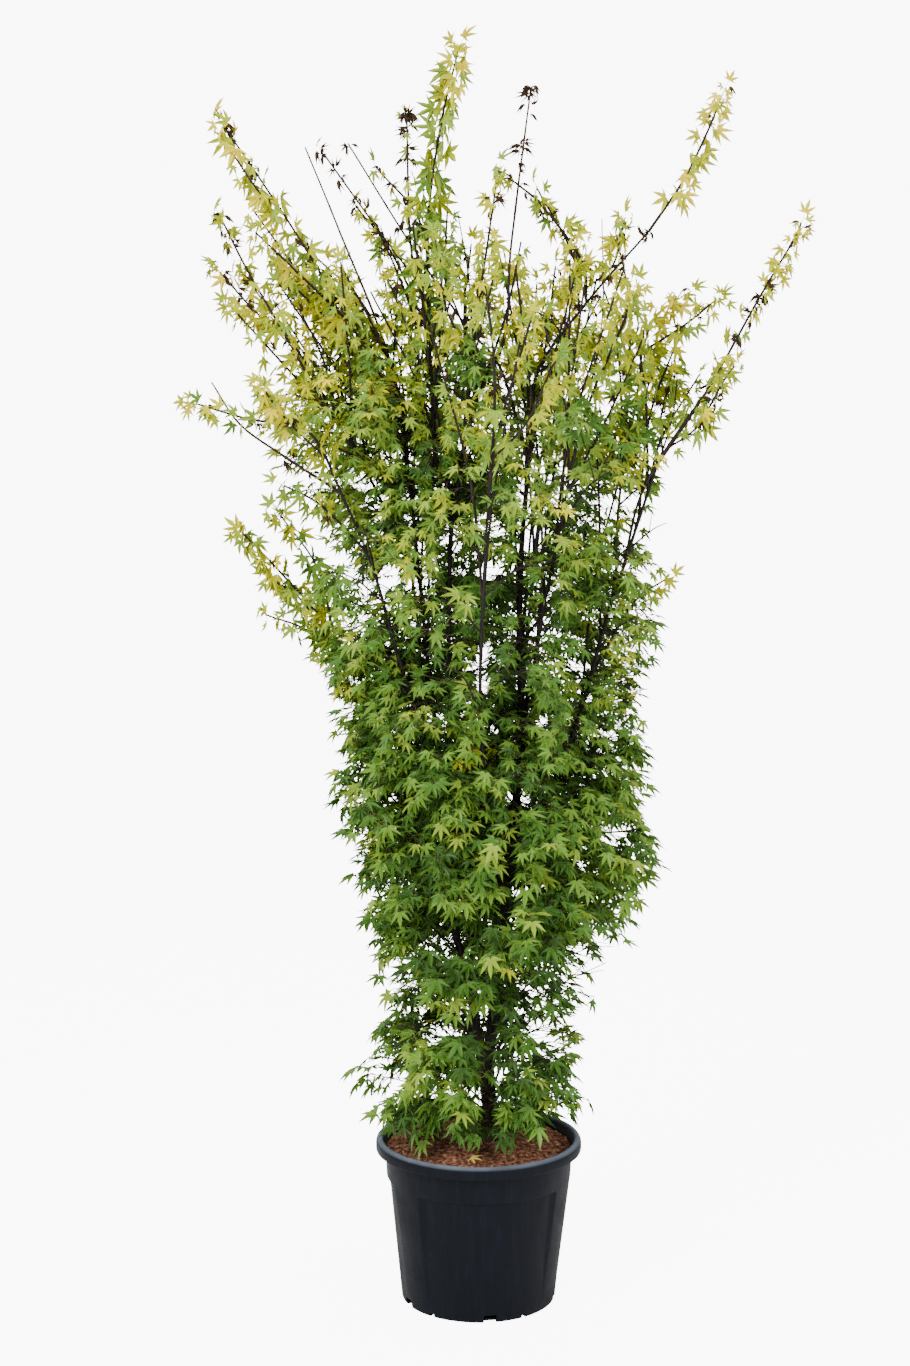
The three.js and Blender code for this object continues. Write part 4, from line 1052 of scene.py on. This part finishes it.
class TwigBatch:
    """Thin tapering stems, gathered and then made one mesh."""

    def __init__(self):
        self.points, self.faces = [], []

    def add(self, route, r0, r1, rings, sides=4):
        level, start = route.level(), len(self.points)
        for i in range(rings + 1):
            t = i / rings
            a, b = square_to(route.heading(t), level)
            r = r0 + (r1 - r0) * t
            for k in range(sides):
                turn = TURN * k / sides
                self.points.append(route.at(t) + a * r * math.cos(turn) + b * r * math.sin(turn))
        for i in range(rings):
            for k in range(sides):
                p, q = start + i * sides + k, start + i * sides + (k + 1) % sides
                self.faces += [(p, q, q + sides), (p, q + sides, p + sides)]
        end = start + rings * sides
        for k in range(1, sides - 1):
            self.faces += [(start, start + k + 1, start + k), (end, end + k, end + k + 1)]

    def straight(self, foot, tip, r0, r1):
        self.add(Route([foot, tip], 1), r0, r1, 1, 3)


TINTS = {  # sRGB, from the shaded base of the crown to its sunlit tips: the leaves' own greens and golds, though the darkest greens also stand in for painted shade and the palest golds and straw for painted highlight
    "shade_green": "37561f",
    "deep_green": "496f26",
    "leaf_green": "698e31",
    "fresh_green": "8aa236",
    "lime": "a8b02a",
    "yellow_green": "c6c228",
    "gold": "e0ce2e",
    "straw": "f2de5a",
    "rose_tan": "d29a55",
    "dried_brown": "4a3828",
}
TINT_BY_WARMTH = list(TINTS)[:8]
WARM_TINTS = list(TINTS)[4:]
WARM_GLOSS, GREEN_GLOSS = 0.08, 0.26
EDGE_WARMTH, TINT_SHADE_AND_HIGHLIGHT_SPREAD = 1.3, 1.8  # how much warmer the crown's edge is, and how much chance adds, which also scatters leaves into darker and paler tints as painted shade and painted highlight
LOW_CROWN, LOW_GOLD_SHARE, LOW_GOLD = 1.35, 0.02, 4.2  # below that height, so many twigs are so warm
ROSE_ABOVE, ROSE_SHARE = 1.9, 0.015  # above that height, so many of the gold and straw leaves turn rose
LEAF_BY_HEIGHT = [(0.8, 1.06), (1.35, 0.84)]  # height in metres and a leaf's size beside full growth
# Height in metres and which tint, counted from the first, prevails there.
WARMTH_BY_HEIGHT = [(0.3, 1.3), (1.15, 1.5), (1.5, 2.0), (1.72, 2.9), (1.95, 4.5), (2.5, 5.0)]


def outline_at(z):
    """The crown's furthest left and right at a height, in metres."""
    z /= MM
    for (z0, l0, r0), (z1, l1, r1) in zip(OUTLINE, OUTLINE[1:]):
        if z <= z1:
            w = max(0, (z - z0) / (z1 - z0))
            return (l0 + (l1 - l0) * w) * MM, (r0 + (r1 - r0) * w) * MM
    return OUTLINE[-1][1] * MM, OUTLINE[-1][2] * MM


def in_sky(p):
    """Whether the viewer sees sky there. The gaps narrow towards that viewer, as sight lines do."""
    near = (EYE_DISTANCE + p.y) / EYE_DISTANCE
    x, z = (p.x - EYE_SIDE) / near + EYE_SIDE, (p.z - EYE_HEIGHT) / near + EYE_HEIGHT
    return any(((x / MM - cx) / rx) ** 2 + ((z / MM - cz) / rz) ** 2 < 1 for cx, cz, rx, rz in SKY)


CROWN_MIDDLE, CROWN_DEPTH = 0.02, 0.3  # how far right and back the crown's middle is, and its half depth
DEPTH_SHARE = 1.05  # how deep the crown may be beside its width
# Leaves keep out of this radius below this height, and below that much more in front of the pot.
POT_REACH, POT_TOP, FRONT_RISE = 0.235, 0.343, 0.22
# How near a seen stem's line a leaf before it is in its way, and the share of those left out.
STEM_SIDE, STEM_CLEARED = 0.017, 0.92


class Foliage:
    """Grows twigs and leaves and keeps them by tint."""

    def __init__(self, plan, routes):
        self.plan = plan
        self.tints = {name: LeafBatch() for name in TINTS}
        self.twigs, self.stalks = TwigBatch(), TwigBatch()
        self.seen = []
        for name, (first, last) in SEEN_STEMS.items():
            spots = np.array([routes[name].at(first + (last - first) * i / 40) for i in range(41)])
            self.seen.append((spots[:, 2], spots[:, 0], spots[:, 1]))

    def hides_stem(self, p):
        """Whether a leaf there stands before one of the stems that show."""
        for heights, sides, depths in self.seen:
            near = (EYE_DISTANCE + np.interp(p.z, heights, depths)) / (EYE_DISTANCE + p.y)
            if near < 1.002:
                continue
            x, z = (p.x - EYE_SIDE) * near + EYE_SIDE, (p.z - EYE_HEIGHT) * near + EYE_HEIGHT
            if heights[0] < z < heights[-1] and abs(np.interp(z, heights, sides) - x) < STEM_SIDE:
                return True
        return False

    def room_for(self, p):
        """Whether a leaf may be there: clear of the pot, within the crown and out of its gaps."""
        if math.hypot(p.x, p.y) < POT_REACH and p.z < POT_TOP + FRONT_RISE * max(0, -p.y):
            return False
        left, right = outline_at(p.z)
        middle, half = (left + right) / 2, (right - left) / 2
        if math.hypot((p.x - middle) / half, (p.y - CROWN_MIDDLE) / (half * DEPTH_SHARE)) > 1:
            return False
        return not in_sky(p)

    def tint_for(self, p, warmth, draw):
        """Which tint prevails at a place, counted from the first: warmer further up and out."""
        left, right = outline_at(p.z)
        out = min(1.2, math.hypot((p.x - CROWN_MIDDLE) / ((right - left) / 2), p.y / CROWN_DEPTH))
        warm = np.interp(p.z, *zip(*WARMTH_BY_HEIGHT)) + EDGE_WARMTH * (out - 0.7) + warmth
        # chance scatters leaves into darker and paler tints: partly their own tone, partly painted shade and
        # painted highlight
        warm += TINT_SHADE_AND_HIGHLIGHT_SPREAD * (draw() + draw() - 1)
        if p.z < LOW_CROWN and draw() < LOW_GOLD_SHARE:
            warm = LOW_GOLD
        return min(max(warm, 0), len(TINT_BY_WARMTH) - 0.8)

    def leaf(self, base, direction, size, warm, draw, flat=1.0, droop=1.0):
        """One leaf on its stalk. The blade lies level or leans outwards, and its tip hangs.

        The less flat leaves of the long shoots turn to all sides and hang more.
        """
        outward = Vector((base.x - CROWN_MIDDLE, base.y - CROWN_MIDDLE, 0)) * 2
        outward += Vector((direction.x, direction.y, 0)) * 0.6
        outward = outward.normalized() if outward.length > 1e-4 else Vector((0, -1, 0))
        loose = flat < 0.5
        widest, tilt, shake, sag = (TURN, 1.0, 0.8, 0.55) if loose else (1.4, 0.55, 1.3, 0.2)
        turn = (draw() - 0.5) * widest
        lean = Vector((outward.x * math.cos(turn) - outward.y * math.sin(turn),
                       outward.x * math.sin(turn) + outward.y * math.cos(turn), 0))
        spin = shaken(draw)
        up = (Vector((0, 0, flat)) + lean * tilt + spin * shake).normalized()
        down = Vector((0, 0, sag + 0.5 * draw()))
        hang = direction * 0.8 + (outward * 0.3 + spin.yzx * 0.7 - down) * droop
        along = (hang - up * hang.dot(up)).normalized()
        way = (direction * 0.75 + along * 0.35).normalized()
        foot = base + way * self.plan.stalk * (0.6 + 0.8 * draw())
        pick = int(warm + 1.5 * (draw() - 0.5))
        kind = int(CURLED * draw())
        if loose and kind == 0:
            kind = 3
        if self.hides_stem(foot + along * 0.45 * size) and draw() < STEM_CLEARED:
            return
        self.stalks.straight(base, foot, *STALK_RADII)
        name = TINT_BY_WARMTH[min(max(pick, 0), len(TINT_BY_WARMTH) - 1)]
        if name in ("gold", "straw") and base.z > ROSE_ABOVE and draw() < ROSE_SHARE:
            name = "rose_tan"
        self.tints[name].add(foot, along, up, size, kind)

    def dried(self, base, direction, draw):
        """A small shrivelled leaf close to its stem."""
        spin = shaken(draw)
        foot = base + direction * 0.007 + spin * 0.006
        along = (direction + spin - Vector((0, 0, 0.5))).normalized()
        up = spin.zxy + Vector((0, 0, 0.3))
        self.tints["dried_brown"].add(foot, along, up, 0.013 + 0.008 * draw(), CURLED)

    def pair(self, base, along, heading, size, warm, draw, dry):
        """Two leaves that stand opposite each other at one node of a shoot."""
        for out in (along, heading * 2 * along.dot(heading) - along):
            way = (out + shaken(draw) * 0.5).normalized()
            if draw() < dry:
                self.dried(base, way, draw)
            else:
                self.leaf(base, way, size * (0.8 + 0.4 * draw()), warm, draw, 0.2)

    def group(self, base, along, reach, warmth, draw):
        """A fine twig with its pairs of leaves, as long as one leaf of the solids."""
        leaf = self.plan.leaf * (0.82 + 0.33 * draw()) * np.interp(base.z, *zip(*LEAF_BY_HEIGHT))
        length = max(0.006, reach - 0.85 * leaf)
        pairs = max(1, round(length / (self.plan.spacing * leaf / self.plan.leaf)))
        middle = base + along * length * 0.5 + Vector((0, 0, 0.06 * length))
        route = Route([base, middle, base + along * length], 1)
        if not self.room_for(route.at(1)):
            return
        self.twigs.add(route, *GROUP_RADII, 2, 3)
        warm = self.tint_for(route.at(0.6), warmth, draw)
        level = route.level()
        turn = TURN * draw()
        for i in range(pairs):
            t = (i + 0.55) / pairs
            spot, heading = route.at(t), route.heading(t)
            a, b = square_to(heading, level)
            for half in (0, 1):
                spread = turn + math.pi * half + 0.5 * (draw() - 0.5)
                out = (heading * 0.55 + a * math.cos(spread) + b * math.sin(spread)).normalized()
                size = leaf * (0.72 + 0.3 * draw())
                if self.room_for(spot + out * size * 0.7):
                    self.leaf(spot, out, size, warm + 0.5 * t, draw)
            turn += math.pi / 2
        self.leaf(route.at(1), along, leaf, warm + 0.6, draw)


LARGE_GROUP = 55  # mm: shoots whose groups are longer have two pairs of leaves for each
TIP_PAIRS = 0.3, 0.9  # where the pairs of a shoot's last twig are
RUNNER_LEAF, FAN_LEAF, LEAF_SHRINK, END_LEAF = 36, 30, 10, 0.028  # the first three in mm
FAN_WARMTH, FAN_DRY = 0.3, 0.06
FAN_TOP, FAN_MORE, FAN_LEAST = 1.90, 0.17, 0.16  # height of a fan's tips, chance's share, least rise
DRIED_SEED = 4021


class MAPLE_OT_foliage(bpy.types.Operator):
    """Adds the shoots, sprays and fine twigs with their leaves"""
    bl_idname = "maple.add_foliage"
    bl_label = "Add foliage"

    def execute(self, context):
        routes = {"trunk": Route(TRUNK)}
        routes.update({name: Route(stations) for name, (_, stations) in {**LIMBS, **WHIPS}.items()})
        routes.update({name: Route(shoot[3]) for name, shoot in SHOOTS.items()})
        grown = Foliage(context.scene.maple_foliage, routes)
        seeds = itertools.count(FIRST_SEED + SEED_STEP, SEED_STEP)
        nodes = self.named_masses(grown, routes, seeds)
        self.fine_sprays(grown, routes, seeds)
        self.fine_shoots(grown, routes, seeds)
        self.dried_clusters(grown, routes)
        bark = living_bark("fine_twig_bark", "130e0c", "221914", "3c3222", 3.0)
        twigs = mesh_from_arrays("leafy_twigs", grown.twigs.points, grown.twigs.faces, bark)
        give_body(twigs, nodes)
        green = living_bark("leaf_stalk_skin", "3d3a1e", "5c5a2c", "7c5a34", 3.0)
        stalks = mesh_from_arrays("leaf_stalks", grown.stalks.points, grown.stalks.faces, green)
        give_body(stalks, nodes)
        for name, batch in grown.tints.items():
            warm = name in WARM_TINTS
            tint = leaf_blade(f"{name}_leaf", TINTS[name], WARM_GLOSS if warm else GREEN_GLOSS)
            give_body(batch.mesh(f"{name}_leaves", tint), nodes)
        return {"FINISHED"}

    def named_masses(self, grown, routes, seeds):
        """The shoots and sprays that are nodes of their own, grown as the solids are."""
        nodes = []
        for name, (size, pairs, bare, _, forks) in SHOOTS.items():
            self.shoot(grown, name, size, pairs, bare, routes[name], forks, seeded(next(seeds)))
            nodes.append(name)
        for limb, rows in SPRAYS.items():
            for number, row in enumerate(rows, 1):
                route = spray_route(routes[limb], *row)
                self.spray(grown, route, SPRAY_SIDE, SPRAY_LEAF, next(seeds), SPRAY_FOOT, 0)
                nodes.append(f"{limb}_spray_{number}")
        return nodes

    def fine_sprays(self, grown, routes, seeds):
        """The sprays between the large ones, round each limb by rule and then one by one."""
        def fine(limb, share, turn, reach, rise, leaf, warmth=0):
            route = spray_route(routes[limb], share, turn, reach, rise)
            size = leaf + LEAF_GROWTH * reach
            self.spray(grown, route, reach * FINE_SIDE, size, next(seeds), FINE_SPRAY_FOOT, warmth)

        for row, (limb, first, last, count, near, far, warmth) in enumerate(FILL):
            for i in range(count):
                t = i / (count - 1)
                reach = near + (far - near) * t
                turn = FIRST_TURN + ROW_TURN * row + GOLDEN_ANGLE * i
                fine(limb, first + (last - first) * t, turn, reach, reach * FINE_RISE, FINE_LEAF, warmth)
        for limb, share, turn, reach, rise in PLACED:
            fine(limb, share, turn, reach, rise, PLACED_LEAF)

    def fine_shoots(self, grown, routes, seeds):
        for limb, first, last, count, bare in FANS:
            for i in range(count):
                foot = routes[limb].at(first + (last - first) * i / (count - 1))
                self.fan_shoot(grown, foot, i, bare, seeded(next(seeds)))
        for limb, share, bend, tip, warmth, dry, bare in RUNNERS:
            route = routes[limb].branch(share, bend, tip)
            self.runner(grown, route, warmth, dry, bare, seeded(next(seeds)), RUNNER_LEAF)
        for limb, share, bend, tip in BARE_STEMS:
            grown.twigs.add(routes[limb].branch(share, bend, tip), *BARE_RADII, 14)

    def shoot(self, grown, name, size, pairs, bare, route, forks, draw):
        """A long stem with leaves at the nodes where the solids have theirs, and its forks."""
        ways = [(route, groups_in_pairs(route, size * MM, pairs, bare, draw), SHOOT_FOOT)]
        for start, fork_size, fork_pairs, fork_bare, stations in forks:
            fork = route.branch(start, *stations)
            groups = groups_in_pairs(fork, fork_size * MM, fork_pairs, fork_bare, draw)
            ways.append((fork, groups, FORK_FOOT))
        fine = seeded(int(1e6 * draw()))
        foot_leaf, tip_leaf, low, high, dry = SHOOT_LOOKS.get(name, USUAL_LOOKS)
        for way, groups, foot in ways:
            grown.twigs.add(way, foot, SHOOT_TIP, 20, 5)
            step = min(grown.plan.node_gap, way.length() / len(groups)) / 2
            for k, (base, along, _) in enumerate(groups[:-1]):
                t = (k + 1) / len(groups)
                leaf = (foot_leaf + (tip_leaf - foot_leaf) * t) * MM
                warm = grown.tint_for(base, low + (high - low) * t, fine)
                heading = way.heading(t)
                grown.pair(base, along, heading, leaf, warm, fine, dry)
                if size > LARGE_GROUP:
                    side = along.cross(heading).normalized() + heading * 0.5
                    grown.pair(base + heading * step, side, heading, leaf * 0.85, warm, fine, dry)
            base, along, reach = groups[-1]
            along = (way.heading(1) * 0.85 + along * 0.15).normalized()
            end = base + along * max(0.004, reach - 0.016 - tip_leaf * MM)
            grown.twigs.straight(base, end, *END_RADII)
            warm = grown.tint_for(base, high, fine)
            side = along.cross(way.level())
            for share in TIP_PAIRS:
                side = (side.cross(along).normalized() + along * 0.8).normalized()
                grown.pair(base.lerp(end, share), side, along, 0.8 * tip_leaf * MM, warm, fine, 0.6 * dry)
            grown.leaf(end, along, tip_leaf * MM, warm, fine, 0.3, 0.1)

    def runner(self, grown, route, warmth, dry, bare, draw, size):
        """A thin shoot with pairs of leaves at even nodes, each turned from the last."""
        grown.twigs.add(route, *RUNNER_RADII, 16)
        count = max(2, int(route.length() * (1 - bare) / (0.85 * grown.plan.node_gap)))
        for i in range(count):
            t = bare + (1 - bare) * (i + 0.6) / count
            base, heading = route.at(t), route.heading(t)
            out = sideways(heading, route.level(), 0.75 * i, 0.4 * draw(), 1.1)
            warm = grown.tint_for(base, warmth, draw)
            grown.pair(base, out, heading, (size - LEAF_SHRINK * t) * MM, warm, draw, dry)
        warm = grown.tint_for(route.at(1), warmth, draw)
        grown.leaf(route.at(1), route.heading(1), END_LEAF, warm, draw, 0.3, 0.1)

    def fan_shoot(self, grown, foot, number, bare, draw):
        """A long upright shoot that leans a little out of the crown's middle."""
        turn = math.radians(FIRST_TURN + GOLDEN_ANGLE * number)
        tip = Vector((foot.x * 1.35 + 0.10 * math.cos(turn), foot.y * 1.3 + 0.12 * math.sin(turn), 0))
        tip.z = max(foot.z + FAN_LEAST, FAN_TOP + FAN_MORE * draw() - 0.25 * max(0, abs(tip.x) - 0.2))
        middle = foot.lerp(tip, 0.45) + Vector((foot.x - tip.x, foot.y - tip.y, 0)) * 0.2
        route = Route([foot, middle, tip], 1)
        self.runner(grown, route, FAN_WARMTH, FAN_DRY, bare, draw, FAN_LEAF)

    def spray(self, grown, route, side, size, seed, foot, warmth):
        """A spray as the solids have it, each of its leaves made a twig with leaves of its own."""
        twigs, groups = groups_of_spray(route, side * MM, size * MM, seeded(seed))
        fine = seeded(seed * 7 + 3)
        ends = [end for _, end in twigs] + [route.at(1)]
        if not any(grown.room_for(end) for end in ends):
            return
        grown.twigs.add(route if grown.room_for(route.at(1)) else route.part(0.72), foot, SPRAY_TIP, 8)
        for start, end in twigs:
            if grown.room_for(end):
                grown.twigs.straight(start, end, *SIDE_RADII)
        for base, along, reach in groups:
            grown.group(base, along, reach, warmth, fine)

    def dried_clusters(self, grown, routes):
        """Shrivelled leaves in tufts on some whips, shoots and limbs."""
        draw = seeded(DRIED_SEED)
        for name, share, many in DRIED_CLUSTERS:
            route = routes[name]
            for _ in range(many):
                t = min(1, share + 0.03 * (draw() - 0.5))
                out = sideways(route.heading(t), route.level(), 3 * draw(), 0, 1.2)
                grown.dried(route.at(t), out, draw)


# ------------------------------------------------------------------ the studio
DAYLIGHT, BACKDROP, FLOOR_GLOW = 0.98, 9.4, 8.5  # the first lights the plant, the others only the view
EYE_LENS, SENSOR = 57.98, 36
# Each soft light's place, what it is aimed at and the width of its disk.
LIGHTS = {
    "key_light": ((-2.4, -3.4, 3.9), (0, 0, 1.8), 3.0),
    "fill_light": ((3.2, -2.6, 2.2), (0, 0, 1.1), 2.6),
    "top_light": ((0.4, 0.8, 5.0), (0, 0, 1.2), 2.4),
}


class MAPLE_OT_studio(bpy.types.Operator):
    """Adds the pale floor, the soft lights and the camera"""
    bl_idname = "maple.add_studio"
    bl_label = "Add studio"

    def execute(self, context):
        plan = context.scene.maple_studio
        self.floor(plan)
        self.world(context)
        for name, row in LIGHTS.items():
            self.area_light(name, *row, plan.key if name == "key_light" else plan.fill)
        data = bpy.data.cameras.new("studio_camera")
        data.lens, data.sensor_width = EYE_LENS, SENSOR
        camera = bpy.data.objects.new("studio_camera", data)
        camera.location = (EYE_SIDE, -EYE_DISTANCE, EYE_HEIGHT)
        camera.rotation_euler = (math.radians(90 - EYE_DOWN), 0, 0)
        context.scene.collection.objects.link(camera)
        context.scene.camera = camera
        return {"FINISHED"}

    def floor(self, plan):
        """A wide pale floor that the camera sees as bright as the backdrop."""
        deselect()
        bpy.ops.mesh.primitive_circle_add(vertices=96, radius=9, fill_type="TRIFAN", location=(0, 0, -0.0005))
        floor = bpy.context.object
        floor.name = "studio_floor"
        material, tree = new_material("pale_floor")
        pale = add_node(tree, "ShaderNodeBsdfDiffuse", {"Color": (*plan.floor, 1)})
        glow = add_node(tree, "ShaderNodeEmission", {"Strength": FLOOR_GLOW})
        path = add_node(tree, "ShaderNodeLightPath").outputs["Is Camera Ray"]
        none = add_node(tree, "ShaderNodeEmission", {"Strength": 0.0})
        lit = add_node(tree, "ShaderNodeMixShader", {0: path, 1: none.outputs[0], 2: glow.outputs[0]})
        both = add_node(tree, "ShaderNodeAddShader", {0: pale.outputs[0], 1: lit.outputs[0]})
        add_node(tree, "ShaderNodeOutputMaterial", {"Surface": both.outputs[0]})
        floor.data.materials.append(material)

    def world(self, context):
        """A white surround, brighter to the camera than to the plant."""
        world = bpy.data.worlds.new("studio_world")
        context.scene.world = world
        world.use_nodes = True
        tree = world.node_tree
        tree.nodes.clear()
        path = add_node(tree, "ShaderNodeLightPath").outputs["Is Camera Ray"]
        strength = add_node(tree, "ShaderNodeMapRange", {
            "Value": path, "To Min": DAYLIGHT, "To Max": BACKDROP})
        back = add_node(tree, "ShaderNodeBackground", {
            "Color": (1, 1, 1, 1), "Strength": strength.outputs[0]})
        add_node(tree, "ShaderNodeOutputWorld", {"Surface": back.outputs[0]})

    def area_light(self, name, place, target, size, power):
        data = bpy.data.lights.new(name, "AREA")
        data.shape, data.size, data.energy = "DISK", size, power
        light = bpy.data.objects.new(name, data)
        light.location = place
        light.rotation_euler = (Vector(target) - Vector(place)).to_track_quat("-Z", "Y").to_euler()
        bpy.context.scene.collection.objects.link(light)


# ------------------------------------------------------------------ add-on
class MAPLE_PT_panel(bpy.types.Panel):
    """Lists the operators that build the plant"""
    bl_idname = "MAPLE_PT_panel"
    bl_label = "Potted Maple"
    bl_space_type = "VIEW_3D"
    bl_region_type = "UI"
    bl_category = "Maple"

    def draw(self, context):
        for operator in OPERATORS:
            self.layout.operator(operator.bl_idname)


OPERATORS = MAPLE_OT_pot, MAPLE_OT_soil, MAPLE_OT_limbs, MAPLE_OT_foliage, MAPLE_OT_studio
GROUPS = {"maple_pot": PotSettings, "maple_soil": SoilSettings, "maple_bark": BarkSettings,
          "maple_foliage": FoliageSettings, "maple_studio": StudioSettings}


def register():
    for group in GROUPS.values():
        bpy.utils.register_class(group)
    for name, group in GROUPS.items():
        setattr(bpy.types.Scene, name, PointerProperty(type=group))
    for operator in OPERATORS:
        bpy.utils.register_class(operator)
    bpy.utils.register_class(MAPLE_PT_panel)


def unregister():
    bpy.utils.unregister_class(MAPLE_PT_panel)
    for operator in reversed(OPERATORS):
        bpy.utils.unregister_class(operator)
    for name, group in GROUPS.items():
        delattr(bpy.types.Scene, name)
        bpy.utils.unregister_class(group)


def main():
    register()
    bpy.ops.maple.add_pot()
    bpy.ops.maple.add_soil()
    bpy.ops.maple.add_limbs()
    bpy.ops.maple.add_foliage()
    bpy.ops.maple.add_studio()
    deselect()


if __name__ == "__main__":
    main()
